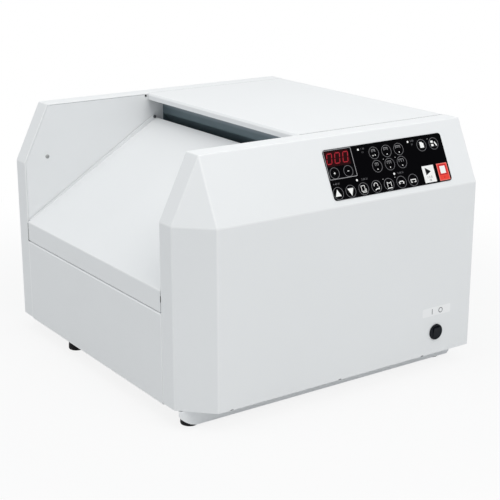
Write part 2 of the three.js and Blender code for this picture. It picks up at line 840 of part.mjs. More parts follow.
// End panels, bent inwards at their edges.
const panelHalf = innerHalf - seam;
const leftPanelUnder = 3;
const lipSeam = 1.5;
const infeedDrop = 25.5;
const infeedHeight = 49;
const infeedSlotDrop = 6;
const infeedSlotHeight = 18;
const infeedSlotInset = 30;
const leftPanelBottom = coverBottom - leftPanelUnder;
const leftPanelTop = deckLowZ - deckLip - lipSeam;
const infeedTop = coverTop - infeedDrop;
const rearPanelTop = infeedTop - infeedHeight;
const infeedSlotTop = infeedTop - infeedSlotDrop;
const infeedSlot = [infeedSlotTop - infeedSlotHeight, infeedSlotTop];
const infeedSlotHalf = innerHalf - infeedSlotInset;
const ventCount = 9;
const ventHalfLength = 34;
const ventHeight = 4;
const ventPitch = 10;
const ventLow = 120;
const inletInset = 59;
const inletY = inletInset - innerHalf;
const inletZ = 70;
const inletHalfWidth = 24;
const inletHalfHeight = 14;
const inletDepth = 26;
const inletFlange = 2;
const inletFlangeOver = 4;
const inletWellDepth = 18;
const inletWellWall = 4;
const inletPin = 1.2;

function leftPanel() {
  const inner = -halfLength + panelFlange;
  return bentSheet([[inner, leftPanelBottom], [-halfLength, leftPanelBottom], [-halfLength, leftPanelTop],
    [inner, leftPanelTop]], panelWall, [-panelHalf, panelHalf]);
}

function rightPanel(bottom, top) {
  const inner = halfLength - panelFlange;
  return bentSheet([[inner, top], [halfLength, top], [halfLength, bottom], [inner, bottom]], panelWall,
    [-panelHalf, panelHalf]);
}

function throughRight(spanY, spanZ) {
  return block([halfLength - panelWall - overrun, halfLength + overrun], spanY, spanZ);
}

function rearPanel() {
  const vents = Array.from({ length: ventCount }, (_, i) => ventLow + i * ventPitch).map((z) => (
    throughRight([-ventHalfLength, ventHalfLength], [z, z + ventHeight])));
  const inlet = throughRight([inletY - inletHalfWidth - fit, inletY + inletHalfWidth + fit],
    [inletZ - inletHalfHeight - fit, inletZ + inletHalfHeight + fit]);
  return cut(rightPanel(leftPanelBottom, rearPanelTop), ...vents, inlet);
}

function infeedPanel() {
  const slot = throughRight([-infeedSlotHalf, infeedSlotHalf], infeedSlot);
  return cut(rightPanel(rearPanelTop + seam, infeedTop), slot);
}

// The mains inlet: a flanged block with a well and three pins.
function mainsInlet() {
  const x = halfLength;
  const body = block([x - inletDepth, x + inletFlange], [inletY - inletHalfWidth, inletY + inletHalfWidth],
    [inletZ - inletHalfHeight, inletZ + inletHalfHeight]);
  const flange = block([x + fit, x + inletFlange],
    [inletY - inletHalfWidth - inletFlangeOver, inletY + inletHalfWidth + inletFlangeOver],
    [inletZ - inletHalfHeight - inletFlangeOver / 2, inletZ + inletHalfHeight + inletFlangeOver / 2]);
  const well = block([x - inletWellDepth, x + overrun],
    [inletY - inletHalfWidth / 2 - inletWellWall / 2, inletY + inletHalfWidth / 2 + inletWellWall / 2],
    [inletZ - inletHalfHeight + inletWellWall, inletZ + inletHalfHeight - inletWellWall]);
  const pins = [-1, 0, 1].map((place) => rodAlongX(inletPin, [x - inletWellDepth - fit, x - inletWellWall],
    [inletY + place * inletHalfWidth / 3, inletZ + (place === 0 ? inletPin : -inletPin)], sides / 3));
  return join(cut(join(body, flange), well), ...pins);
}

place('lower_left_panel', leftPanel(), paint);
place('rear_end_panel', rearPanel(), paint);
place('infeed_panel', infeedPanel(), paint);
place('mains_inlet', mainsInlet(), blackPlastic);

// The lid: a bent sheet with side flanges and two ears on the hinge pins.
function topCover() {
  const half = innerHalf - lidGap;
  const sheet = bentSheet([[lidLeft, coverTop - lidDrop], [lidLeft, coverTop - lidBevel],
    [lidLeft + lidBevel, coverTop], [lidRight, coverTop],
    [lidRight, coverTop - lidRearDrop]], panelWall, [-half, half]);
  const sideParts = [-1, 1].map((side) => {
    const span = ordered(side, half - panelWall, half);
    const flange = block([lidLeft + lidBevel, lidRight - bendRadius], span,
      [coverTop - lidDrop, coverTop - panelWall / 2]);
    const ear = block([hingeX - earHalf, lidRight - panelWall / 2], span,
      [hingeZ - earHalf, coverTop - panelWall / 2]);
    const bore = rodAlongY(hingePin + fit, [span[0] - overrun, span[1] + overrun], [hingeX, hingeZ]);
    return cut(join(flange, ear), bore);
  });
  return join(sheet, ...sideParts);
}

place('top_cover', topCover(), paint);

// The deck: a bent sheet with a front lip, a down-turned upper edge and two side flanges.
function deck() {
  const [lowX, lowZ] = deckPoint(0, 0);
  const [highX, highZ] = deckPoint(deckLength, 0);
  const line = [[lowX, lowZ - deckLip], [lowX, lowZ], [highX, highZ], [highX, highZ - deckEndDrop]];
  const sheet = bentSheet(line, panelWall, [-deckHalf, deckHalf]);
  const start = 2 * panelWall;
  const end = deckLength - panelWall;
  const outline = [
    deckPoint(start, -panelWall / 2),
    deckPoint(end, -panelWall / 2),
    deckPoint(end, deckFlange - deckFlangeCorner),
    deckPoint(end - deckFlangeCorner, deckFlange),
    deckPoint(start, deckFlangeLow),
  ];
  const flanges = [-1, 1].map((side) => {
    const span = ordered(side, deckHalf - panelWall, deckHalf);
    const through = [span[0] - overrun, span[1] + overrun];
    return cut(prism(outline, span), rodAlongY(deckPin + fit, through, deckPivot));
  });
  return join(sheet, ...flanges);
}

function deckPivotPin(side) {
  const head = ordered(side, deckHalf - panelWall - fit - deckPinHeadWall, deckHalf - panelWall - fit);
  const shank = ordered(side, deckHalf - panelWall - 2 * fit, sideBack + fit);
  return join(rodAlongY(deckPinHead, head, deckPivot), rodAlongY(deckPin, shank, deckPivot));
}

place('deck', deck(), paint);
place('deck_pivot_near', deckPivotPin(-1), steel);
place('deck_pivot_far', deckPivotPin(1), steel);

// Paper guides below and above the path, with their slots and windows, drawn in the fold head's frame.
function window(spanX, spanY, up) {
  return block(spanX, spanY, [up - overrun, up + overrun]);
}

function lowerGuide() {
  const up = -gapHalf;
  const sheet = block([lowerGuideLow, lowerGuideHigh], [-guideHalf, guideHalf], [up - guideWall, up]);
  const knifeSlot = window([-knifeSlotHalf, knifeSlotHalf], [-knifeHalf - overrun, knifeHalf + overrun], up);
  const reach = fingerThickness / 2 + fit;
  const fingers = [-fingerY, 0, fingerY].map((y) => window([stopRest - reach, stopRest + stopTravel + reach],
    [y - fingerWidth / 2 - fit, y + fingerWidth / 2 + fit], up));
  const anvils = [-headY, headY].map((y) => window(
    [stapleAlong - anvilHalfLength - 2 * fit, stapleAlong + anvilHalfLength + 2 * fit],
    [y - anvilHalfWidth - 2 * fit, y + anvilHalfWidth + 2 * fit], up));
  return cut(sheet, knifeSlot, ...fingers, ...anvils);
}

function upperGuide() {
  const up = gapHalf;
  const sheet = block([upperGuideLow, upperGuideHigh], [-guideHalf, guideHalf], [up, up + guideWall]);
  const nip = window([-nipWindowHalf, nipWindowHalf], [-knifeHalf - overrun, knifeHalf + overrun], up);
  const heads = [-headY, headY].map((y) => window(
    [stapleAlong - 2 * ramHalfThickness, stapleAlong + 2 * ramHalfThickness],
    [y - ramHalfWidth - ramHalfThickness, y + ramHalfWidth + ramHalfThickness], up));
  const stems = [-1, 1].flatMap((side) => [-1, 1].map((end) => {
    const along = joggerAlong + end * joggerStemShare * joggerHalfLength;
    return window([along - joggerStem / 2 - fit, along + joggerStem / 2 + fit],
      ordered(side, joggerRestY - joggerTravel - 2 * fit, joggerRestY + joggerWall + 2 * fit), up);
  }));
  return cut(sheet, nip, ...heads, ...stems);
}

place('lower_guide', lowerGuide(), zinc, foldHead);
place('upper_guide', upperGuide(), zinc, foldHead);

// The exit channel. The right guide turns upright where the deck ends, up to just below the lid, and
// has a folded tab at each end against the side plate.
const uprightGap = 11.4;
const uprightDrop = 12.5;
const uprightTab = 14;
const uprightTabUnder = 12;
const uprightX = deckHighX + uprightGap;
const uprightTop = coverTop - uprightDrop;

function tyreWindows(side) {
  const half = deliveryTyreHalf + 2 * fit;
  const reach = deliveryRadius + 2 * fit;
  return deliveryTyreShares.map((share) => outOf(foldHead, block(ordered(side, 0, 3 * channelHalf),
    [share * innerHalf - half, share * innerHalf + half], [deliveryUp - reach, deliveryUp + reach])));
}

function exitGuideRight() {
  const start = fromFoldHead([channelHalf, channelStart]);
  const rise = (start[0] - uprightX) / Math.tan(slope);
  const line = [start, [uprightX, start[1] + rise], [uprightX, uprightTop]];
  const sheet = cut(bentSheet(line, guideWall, [-guideHalf, guideHalf], 2 * bendRadius), ...tyreWindows(1));
  const tabs = [-1, 1].map((side) => block([uprightX, uprightX + uprightTab],
    ordered(side, guideHalf - guideWall, guideHalf), [deckHighZ - uprightTabUnder, uprightTop]));
  return join(sheet, ...tabs);
}

function exitGuideLeft() {
  const line = [fromFoldHead([-channelHalf, channelEnd]), fromFoldHead([-channelHalf, channelStart])];
  return cut(bentSheet(line, guideWall, [-guideHalf, guideHalf]), ...tyreWindows(-1));
}

place('exit_guide_right', exitGuideRight(), motorGrey);
place('exit_guide_left', exitGuideLeft(), zinc);

// Fold rollers and their gear train, outside the near side plate.
const shaftOverhang = 3;
const washerWall = 1;
const shaftFarEnd = sideBack + shaftOverhang;
const gearStart = -sideBack - washerWall;
const gearEnd = gearStart - gearWidth;
const pulleyGap = 2;
const pulleyNear = gearEnd - pulleyGap;
const pulleyFar = pulleyNear - pulleyWidth;
const pulleyFlange = 1.5;
const motorAxis = [driveAxis[0] - (gearTeeth + motorTeeth) * gearModule / 2 - gearBacklash, rollerUp];

function foldRoller(axis, nearEnd) {
  return turned([[shaftRadius, nearEnd], [shaftRadius, -rollerHalf], [rollerRadius, -rollerHalf],
    [rollerRadius, rollerHalf], [shaftRadius, rollerHalf], [shaftRadius, shaftFarEnd]], axis);
}

function gearAt([x, z], teeth, phase, bore, span) {
  const outline = gearOutline(teeth, gearModule, gearBacklash, phase).map(([u, w]) => [x + u, z + w]);
  return prism(outline, span, circle(bore, [x, z]).reverse());
}

function driveGear() {
  const gear = gearAt(driveAxis, gearTeeth, 0, shaftRadius + fit, [gearEnd, gearStart]);
  const bore = circle(shaftRadius + fit, driveAxis).reverse();
  const hub = prism(circle(drivePulley - pulleyFlange, driveAxis), [pulleyNear - fit, gearEnd + fit], bore);
  const pulley = prism(circle(drivePulley, driveAxis), [pulleyFar, pulleyNear], bore);
  return join(gear, hub, pulley);
}

const motorShaft = 4;
const motorRadius = 25;
const motorFaceHalf = 30;
const motorFaceWall = 4;
const motorPostRadius = 4;
const motorPostInset = 4;
const motorFaceGap = 4;
const motorFace = pulleyFar - motorFaceGap;
const motorLength = 36;

function foldMotor() {
  const [x, z] = motorAxis;
  const face = block([x - motorFaceHalf, x + motorFaceHalf], [motorFace - motorFaceWall, motorFace],
    [z - motorFaceHalf, z + motorFaceHalf]);
  const back = motorFace - motorFaceWall;
  const can = rodAlongY(motorRadius, [back - motorLength, back + fit], motorAxis);
  const shaft = rodAlongY(motorShaft, [motorFace - fit, gearStart - fit], motorAxis);
  const reach = motorFaceHalf - motorPostInset;
  const posts = [[-reach, -reach], [-reach, reach], [reach, -reach]].map(([dx, dz]) => (
    rodAlongY(motorPostRadius, [motorFace - fit, -sideBack - fit], [x + dx, z + dz], sides / 2)));
  return join(face, can, shaft, ...posts);
}

place('fold_roller_drive', foldRoller(driveAxis, pulleyFar), rollerRubber, foldHead);
place('fold_roller_idle', foldRoller(idleAxis, gearEnd), rollerRubber, foldHead);
place('fold_gear_drive', driveGear(), nylon, foldHead);
place('fold_gear_idle', gearAt(idleAxis, gearTeeth, Math.PI - Math.PI / gearTeeth, shaftRadius + fit,
  [gearEnd, gearStart]), nylon, foldHead);
place('fold_motor_pinion', gearAt(motorAxis, motorTeeth, 0, motorShaft + fit, [gearEnd, gearStart]), steel,
  foldHead);
place('fold_motor', foldMotor(), motorGrey, foldHead);

// Delivery rollers with three tyres each, and the belt that turns them.
function deliveryRoller(axis, nearSteps) {
  const tyres = deliveryTyreShares.flatMap((share) => {
    const y = share * innerHalf;
    return [[deliveryShaft, y - deliveryTyreHalf], [deliveryRadius, y - deliveryTyreHalf],
      [deliveryRadius, y + deliveryTyreHalf], [deliveryShaft, y + deliveryTyreHalf]];
  });
  return turned([...nearSteps, ...tyres, [deliveryShaft, shaftFarEnd]], axis);
}

function driveBelt() {
  const loop = (extra) => (
    hullOfCircles(driveAxis, drivePulley + extra, deliveryDriveAxis, deliveryPulley + extra));
  return prism(loop(fit + beltThickness), [pulleyFar + fit, pulleyNear - fit], loop(fit).reverse());
}

place('delivery_roller_drive', deliveryRoller(deliveryDriveAxis, [[deliveryPulley, pulleyFar],
  [deliveryPulley, pulleyNear], [deliveryShaft, pulleyNear]]), rollerRubber, foldHead);
place('delivery_roller_idle', deliveryRoller(deliveryIdleAxis, [[deliveryShaft, gearStart]]), rollerRubber,
  foldHead);
place('drive_belt', driveBelt(), rubber, foldHead);

// The knife, its carriage with two racks, the rods it slides on and the pinion shaft.
function knifeBlade() {
  return block([-knifeWall / 2, knifeWall / 2], [-knifeHalf, knifeHalf],
    [carriageTop - knifeSunk + fit, knifeRest]);
}

function alongZRack([x, y, z], teeth, towards, halfWidth) {
  const flat = rackOutline(teeth, rackModule, rackBacklash, rackBacking);
  const outline = flat.map(([a, b]) => [x + towards * b, z + a]);
  return prism(towards > 0 ? outline.reverse() : outline, [y - halfWidth, y + halfWidth]);
}

function knifeCarriage() {
  const beam = block([-carriageHalfThickness, carriageHalfThickness], [-carriageHalf, carriageHalf],
    [carriageTop - carriageHeight, carriageTop]);
  const slit = block([-knifeWall / 2 - fit, knifeWall / 2 + fit], [-knifeHalf - fit, knifeHalf + fit],
    [carriageTop - knifeSunk, carriageTop + overrun]);
  const rodHoles = [-guideRodY, guideRodY].map((y) => rodAlongZ(guideRodRadius + fit,
    [carriageTop - carriageHeight - overrun, carriageTop + overrun], [0, y]));
  const middle = pinionUp - Math.round(knifeTravel / 2 / rackPitch) * rackPitch;
  const racks = [-knifeRackY, knifeRackY].map((y) => (
    alongZRack([knifePitchLine, y, middle], knifeRackTeeth, 1, pinionWidth / 2)));
  return join(cut(beam, slit, ...rodHoles), ...racks);
}

function knifeGuide() {
  const rail = block([-guideRailHalf, guideRailHalf], [-guideHalf, guideHalf],
    [guideRodFoot - guideRailHeight, guideRodFoot]);
  const rods = [-guideRodY, guideRodY].map((y) => rodAlongZ(guideRodRadius,
    [guideRodFoot - fit, -gapHalf - guideWall - fit], [0, y]));
  return join(rail, ...rods);
}

function knifePinionShaft() {
  const [x, z] = knifePinionAxis;
  const phase = Math.PI + Math.PI / pinionTeeth;
  const outline = gearOutline(pinionTeeth, rackModule, rackBacklash, phase).map(([u, w]) => [x + u, z + w]);
  const half = pinionWidth / 2;
  const pinions = [-knifeRackY, knifeRackY].map((y) => prism(outline, [y - half, y + half]));
  const span = [-sideBack - shaftOverhang, sideBack + knifeMotorGrip];
  const shaft = rodAlongY(pinionShaftRadius, span, knifePinionAxis);
  return join(shaft, ...pinions);
}

function knifeMotor() {
  const [x, z] = knifePinionAxis;
  const start = sideBack + fit;
  const back = start + gearboxDepth;
  const box = block([x - gearboxHalf, x + gearboxHalf], [start, back], [z - gearboxHalf, z + gearboxHalf]);
  const can = rodAlongY(knifeMotorRadius, [back - fit, back + knifeMotorLength], knifePinionAxis);
  const boreEnd = sideBack + knifeMotorGrip + fit;
  const bore = rodAlongY(pinionShaftRadius + fit, [start - overrun, boreEnd], knifePinionAxis);
  return cut(join(box, can), bore);
}

place('knife_blade', knifeBlade(), steel, foldHead);
place('knife_carriage', knifeCarriage(), zinc, foldHead);
place('knife_guide', knifeGuide(), steel, foldHead);
place('knife_pinion_shaft', knifePinionShaft(), steel, foldHead);
place('knife_motor', knifeMotor(), motorGrey, foldHead);

// Stapling heads on their cross rail, with rams, magazines and the clincher bar below the path.
function staplerHead(y) {
  const [left, right] = [stapleAlong - headHalfLength, stapleAlong + headHalfLength];
  const outline = [[left, headBottom], [right, headBottom], [right, headTop], [left + headChamfer, headTop],
    [left, headTop - 2 * headChamfer]];
  const body = prism(outline, [y - headHalfWidth, y + headHalfWidth]);
  const slot = block([stapleAlong - ramHalfThickness - fit, stapleAlong + ramHalfThickness + fit],
    [y - ramHalfWidth - fit, y + ramHalfWidth + fit], [headBottom - overrun, headTop + overrun]);
  return cut(body, slot);
}

function ram(y) {
  return block([stapleAlong - ramHalfThickness, stapleAlong + ramHalfThickness],
    [y - ramHalfWidth, y + ramHalfWidth], [ramRest, ramTop]);
}

function magazine(y) {
  const start = stapleAlong + headHalfLength + fit;
  const outline = [[start, headBottom], [start + magazineLength, headBottom + magazineHeight / 2],
    [start + magazineLength, headBottom + magazineHeight], [start, headBottom + magazineHeight]];
  return prism(outline, [y - magazineHalfWidth, y + magazineHalfWidth]);
}

function staplerRail() {
  const right = stapleAlong + headHalfLength;
  const foot = headTop + fit;
  const outer = block([right - railDepth, right], [-guideHalf, guideHalf], [foot, foot + railHeight]);
  const inner = block([right - railDepth + railWall, right - railWall],
    [-guideHalf - overrun, guideHalf + overrun], [foot + railWall, foot + railHeight - railWall]);
  return cut(outer, inner);
}

function clincherBar() {
  const bar = block([stapleAlong - clincherHalf, stapleAlong + clincherHalf], [-guideHalf, guideHalf],
    [clincherBottom, clincherTop]);
  const anvils = [-headY, headY].map((y) => block(
    [stapleAlong - anvilHalfLength, stapleAlong + anvilHalfLength],
    [y - anvilHalfWidth, y + anvilHalfWidth], [clincherTop - fit, -gapHalf]));
  const grooves = [-headY, headY].flatMap((y) => [-1, 1].map((end) => rodAlongX(guideWall,
    [stapleAlong - anvilHalfLength - fit, stapleAlong + anvilHalfLength + fit],
    [y + end * ramHalfWidth, -gapHalf], sides / 3)));
  return cut(join(bar, ...anvils), ...grooves);
}

const headNames = [['near', -headY], ['far', headY]];
headNames.forEach(([where, y]) => {
  place(`stapler_head_${where}`, staplerHead(y), zinc, foldHead);
  place(`stapler_ram_${where}`, ram(y), steel, foldHead);
  place(`staple_magazine_${where}`, magazine(y), blackPlastic, foldHead);
});
place('stapler_rail', staplerRail(), steel, foldHead);
place('clincher_bar', clincherBar(), steel, foldHead);

// The stop, its belt and pulleys, and the motor in the far housing.
function stopBar() {
  const half = stopBarThickness / 2;
  const bar = block([stopRest - half, stopRest + half], [stopBarNear, stopBeltY + stopBeltHalf],
    [stopBarBottom, stopBarTop]);
  const fingers = [-fingerY, 0, fingerY].map((y) => block(
    [stopRest - fingerThickness / 2, stopRest + fingerThickness / 2],
    [y - fingerWidth / 2, y + fingerWidth / 2], [stopBarTop - fit, fingerTop]));
  return join(bar, ...fingers);
}

function stopBelt() {
  const loop = (extra) => (
    hullOfCircles(stopPulleyLow, stopPulley + extra, stopPulleyHigh, stopPulley + extra));
  const span = [stopBeltY - stopBeltHalf, stopBeltY + stopBeltHalf];
  return prism(loop(fit + beltThickness), span, loop(fit).reverse());
}

function stopDrivePulley() {
  return turned([[stopPulley, stopBeltY - stopPulleyHalf], [stopPulley, stopBeltY + stopPulleyHalf],
    [stopShaft, stopBeltY + stopPulleyHalf], [stopShaft, sideBack + stopMotorGrip]], stopPulleyLow);
}

function stopIdlerPulley() {
  return prism(circle(stopPulley, stopPulleyHigh), [stopBeltY - stopPulleyHalf, stopBeltY + stopPulleyHalf],
    circle(stopShaft + fit, stopPulleyHigh).reverse());
}

function stopMotor() {
  const [x, z] = stopPulleyLow;
  const start = sideBack + fit;
  const body = block([x - stopMotorHalf, x + stopMotorHalf], [start, start + stopMotorLength],
    [z - stopMotorHalf, z + stopMotorHalf]);
  const bore = [start - overrun, sideBack + stopMotorGrip + fit];
  return cut(body, rodAlongY(stopShaft + fit, bore, stopPulleyLow));
}

place('stop_bar', stopBar(), steel, foldHead);
place('stop_belt', stopBelt(), rubber, foldHead);
place('stop_drive_pulley', stopDrivePulley(), nylon, foldHead);
place('stop_idler_pulley', stopIdlerPulley(), nylon, foldHead);
place('stop_motor', stopMotor(), motorGrey, foldHead);

// Joggers: blades in the path on stems through the upper guide, racks above it, one pinion between.
function alongYRack([x, y, z], teeth, towards, height) {
  const outline = rackOutline(teeth, rackModule, rackBacklash, rackBacking);
  const shape = new THREE.Shape(outline.map(([a, b]) => new THREE.Vector2(a, b)));
  const geometry = new THREE.ExtrudeGeometry(shape, { depth: height, bevelEnabled: false });
  geometry.rotateZ(towards > 0 ? -Math.PI / 2 : Math.PI / 2);
  geometry.translate(x, y, z);
  return toSolid(geometry);
}

function jogger(side) {
  const face = ordered(side, joggerRestY, joggerRestY + joggerWall);
  const blade = block([joggerAlong - joggerHalfLength, joggerAlong + joggerHalfLength], face,
    [-joggerBladeHalf, joggerBladeHalf]);
  const rackTop = joggerRackLow + joggerRackHeight;
  const stems = [-1, 1].map((end) => {
    const along = joggerAlong + end * joggerStemShare * joggerHalfLength;
    return block([along - joggerStem / 2, along + joggerStem / 2], face, [joggerBladeHalf - fit, rackTop]);
  });
  const bridge = block([joggerAlong - joggerHalfLength, joggerAlong + joggerHalfLength],
    ordered(side, joggerRestY, joggerRestY + 3 * joggerWall), [joggerRackLow, rackTop]);
  const reach = joggerRestY + joggerWall - joggerRackTeeth * rackPitch / 2;
  const middle = side * Math.round(reach / rackPitch) * rackPitch;
  const pitchLine = joggerAlong - side * (pinionRadius + rackBacklash / 2);
  const rack = alongYRack([pitchLine, middle, joggerRackLow], joggerRackTeeth, side, joggerRackHeight);
  return join(blade, ...stems, bridge, rack);
}

function joggerPinion() {
  const outline = gearOutline(pinionTeeth, rackModule, rackBacklash, Math.PI / pinionTeeth);
  const shape = new THREE.Shape(outline.map(([a, b]) => new THREE.Vector2(a, b)));
  const settings = { depth: joggerRackHeight + 2 * joggerPinionOver, bevelEnabled: false };
  const geometry = new THREE.ExtrudeGeometry(shape, settings);
  geometry.translate(joggerAlong, 0, joggerRackLow - joggerPinionOver);
  const top = joggerMotorFloor + joggerMotorHeight / 2;
  return join(toSolid(geometry), rodAlongZ(joggerShaft, [joggerRackLow, top], [joggerAlong, 0], sides / 2));
}

function joggerMotor() {
  const floor = joggerMotorFloor;
  const plateHalf = joggerLegAlong + joggerLegWidth;
  const plate = block([joggerAlong - plateHalf, joggerAlong + plateHalf],
    [-joggerMotorRadius, joggerMotorRadius], [floor, floor + joggerPlateWall]);
  const legs = [-1, 1].map((side) => block(side > 0
    ? [joggerAlong + joggerLegAlong, joggerAlong + joggerLegAlong + joggerLegWidth]
    : [joggerAlong - joggerLegAlong - joggerLegWidth, joggerAlong - joggerLegAlong],
  [-joggerMotorRadius, joggerMotorRadius], [gapHalf + guideWall + fit, floor + fit]));
  const can = rodAlongZ(joggerMotorRadius, [floor + guideWall, floor + joggerMotorHeight], [joggerAlong, 0]);
  const bore = rodAlongZ(joggerShaft + fit, [floor - overrun, floor + joggerMotorHeight / 2 + fit],
    [joggerAlong, 0], sides / 2);
  return cut(join(plate, ...legs, can), bore);
}

place('jogger_near', jogger(-1), zinc, foldHead);
place('jogger_far', jogger(1), zinc, foldHead);
place('jogger_pinion', joggerPinion(), nylon, foldHead);
place('jogger_motor', joggerMotor(), motorGrey, foldHead);

// The power supply: a case on the near side plate's outer face, with a terminal ledge and louvres.
const supplyInset = 50;
const supplyLength = 120;
const supplyRight = halfLength - supplyInset;
const supplyLeft = supplyRight - supplyLength;
const supplyLow = 80;
const supplyHigh = 150;
const supplyDepth = 42;
const terminalRun = 16;
const terminalDrop = 20;
const louvreCount = 7;
const louvrePitch = 12;
const louvreWidth = 4;
const louvreInset = 12;
const louvreSunk = 1;

function powerSupply() {
  const back = -sideBack - fit;
  const outline = [
    [supplyLeft, supplyLow],
    [supplyRight, supplyLow],
    [supplyRight, supplyHigh - terminalDrop],
    [supplyRight - terminalRun, supplyHigh - terminalDrop],
    [supplyRight - terminalRun, supplyHigh],
    [supplyLeft, supplyHigh],
  ];
  const louvres = Array.from({ length: louvreCount }, (_, i) => {
    const x = supplyLeft + louvreInset + i * louvrePitch;
    return block([x, x + louvreWidth], [back - supplyDepth - overrun, back - supplyDepth + louvreSunk],
      [supplyLow + louvreInset, supplyHigh - louvreInset]);
  });
  return cut(prism(outline, [back - supplyDepth, back]), ...louvres);
}

place('power_supply', powerSupply(), zinc);

export default machine;
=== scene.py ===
# %% [markdown]
# # A desk booklet maker
# The machine is folded sheet metal with a thick pale paint: two bevelled side housings, a sloping deck
# between them where the finished booklets land, and a flat lid over the folding head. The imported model
# gives every piece at its real size. This script dresses it: soft bends where the sheet is folded, paint
# with a fine grain, a printed membrane panel, screws, rubber feet and plain studio light.

# %% Load the fixed frame
import json
import math

import bmesh
import bpy
from mathutils import Matrix, Vector

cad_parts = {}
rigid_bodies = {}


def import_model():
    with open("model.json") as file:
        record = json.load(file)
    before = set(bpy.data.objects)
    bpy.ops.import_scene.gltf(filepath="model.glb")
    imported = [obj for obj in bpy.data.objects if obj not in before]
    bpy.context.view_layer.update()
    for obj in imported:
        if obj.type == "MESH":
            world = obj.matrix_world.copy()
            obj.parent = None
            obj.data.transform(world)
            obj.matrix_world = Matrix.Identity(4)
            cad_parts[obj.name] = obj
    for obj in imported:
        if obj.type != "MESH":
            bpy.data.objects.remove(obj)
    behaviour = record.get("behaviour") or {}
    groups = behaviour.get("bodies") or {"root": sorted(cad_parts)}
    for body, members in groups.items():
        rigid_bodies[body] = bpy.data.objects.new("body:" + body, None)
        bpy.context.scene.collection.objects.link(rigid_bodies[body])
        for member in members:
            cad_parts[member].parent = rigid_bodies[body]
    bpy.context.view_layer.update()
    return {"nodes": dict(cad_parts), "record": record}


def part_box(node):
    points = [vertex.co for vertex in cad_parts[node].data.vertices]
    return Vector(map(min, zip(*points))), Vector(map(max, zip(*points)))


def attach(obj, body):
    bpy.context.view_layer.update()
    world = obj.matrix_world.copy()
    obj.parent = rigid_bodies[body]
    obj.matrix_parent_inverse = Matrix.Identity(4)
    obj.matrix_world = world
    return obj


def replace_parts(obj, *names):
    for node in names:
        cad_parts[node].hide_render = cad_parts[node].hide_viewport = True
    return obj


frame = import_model()
MM = 0.001
scene = bpy.context.scene
scene.view_settings.view_transform = "Standard"

# %% [markdown]
# The camera stands low on the left of the operator's side, a good way off, with a long lens, so the
# housings' upright edges lean only a little. Its place comes from fitting the corners of the covers.

# %% Camera
CAMERA_PLACE = Vector((-0.9862, -1.4860, 0.6900))
CAMERA_AZIMUTH = math.radians(-34.523)
CAMERA_TILT = math.radians(16.984)
CAMERA_LENS = 88.45
SENSOR = 36.0

camera_data = bpy.data.cameras.new("camera")
camera_data.lens = CAMERA_LENS
camera_data.sensor_width = SENSOR
camera_data.clip_start = 0.05
camera = bpy.data.objects.new("camera", camera_data)
camera.location = CAMERA_PLACE
camera.rotation_euler = (math.pi / 2 - CAMERA_TILT, 0, CAMERA_AZIMUTH)
scene.collection.objects.link(camera)
scene.camera = camera

# %% [markdown]
# Light, floor and every finish are node trees, and one helper builds them all. A node is given by its kind
# and its settings: a small-letter setting is the node's own, any other fills an input. The wires are lines
# of text, each from an output to an input, by name or by number.

# %% Node trees
def socket_at(sockets, label):
    return sockets[int(label)] if label.isdigit() else sockets[label]


def grow(tree, nodes, wires, **ready):
    """Adds nodes to a tree and joins them, with any that are ready. Returns them all by name."""
    made = dict(ready)
    for name, (kind, settings) in nodes.items():
        made[name] = tree.nodes.new(kind if "Node" in kind else "ShaderNode" + kind)
        for key, value in settings.items():
            if str(key).islower():
                setattr(made[name], key, value)
            else:
                made[name].inputs[key].default_value = value
    for line in wires.strip().splitlines():
        (source, out), (target, into) = (end.strip().split(".") for end in line.split(">"))
        tree.links.new(socket_at(made[source].outputs, out), socket_at(made[target].inputs, into))
    return made


# %% [markdown]
# A pale product needs a light that shows its folds without clipping: a broad softbox high in front of the
# operator's side, two weaker ones high on the left and low in front, and an even surround. The camera and
# the gloss see the surround as white, but the object is lit by a quieter grey, so faces that look away
# from the softboxes stay a shade darker.

# %% Light
SURROUND = (0.605, 0.632, 0.650)
FRONT_POWER = 16.4
LEFT_POWER = 12.0
LOW_POWER = 2.6
LAMP_TONE = (1.0, 0.975, 0.95)


def area_light(name, place, target, size, power):
    data = bpy.data.lights.new(name, "AREA")
    data.shape = "RECTANGLE"
    data.size, data.size_y = size
    data.energy = power
    data.color = LAMP_TONE
    lamp = bpy.data.objects.new(name, data)
    lamp.location = place
    aim = Vector(target) - Vector(place)
    lamp.rotation_euler = aim.to_track_quat("-Z", "Y").to_euler()
    scene.collection.objects.link(lamp)


area_light("front_softbox", (0.1, -1.4, 2.0), (0.0, 0.0, 0.2), (1.6, 1.6), FRONT_POWER)
area_light("left_softbox", (-0.88, 0.0, 2.2), (0.0, 0.0, 0.2), (1.6, 1.6), LEFT_POWER)
area_light("low_softbox", (0.2, -2.6, 0.5), (0.0, 0.0, 0.15), (1.4, 0.8), LOW_POWER)

world = bpy.data.worlds.new("surround")
scene.world = world
world.use_nodes = True
world.node_tree.nodes.clear()
grow(world.node_tree, {
    "out": ("OutputWorld", {}), "mix": ("MixShader", {}), "path": ("LightPath", {}),
    "grey": ("Background", {"Color": (*SURROUND, 1)}), "white": ("Background", {"Color": (1, 1, 1, 1)}),
    "seen": ("Math", {"operation": "MAXIMUM"}), "shown": ("Math", {"operation": "MAXIMUM"}),
}, """
    path.Is Camera Ray > seen.0
    path.Is Transmission Ray > seen.1
    seen.0 > shown.0
    path.Is Glossy Ray > shown.1
    shown.0 > mix.0
    grey.0 > mix.1
    white.0 > mix.2
    mix.0 > out.0
""")
print("lights:", len(bpy.data.lights))

# %% [markdown]
# The floor is a large pale sheet. Near the machine it is a plain matt surface that holds the shadow;
# further out it fades to pure white for the camera, so no horizon shows.

# %% Floor
FLOOR_HALF = 6.0
FLOOR_TONE = 0.70
FADE_START = 0.45
FADE_END = 1.0
FLOOR_GLOW = 0.86
FLOOR_DROP = 0.2 * MM


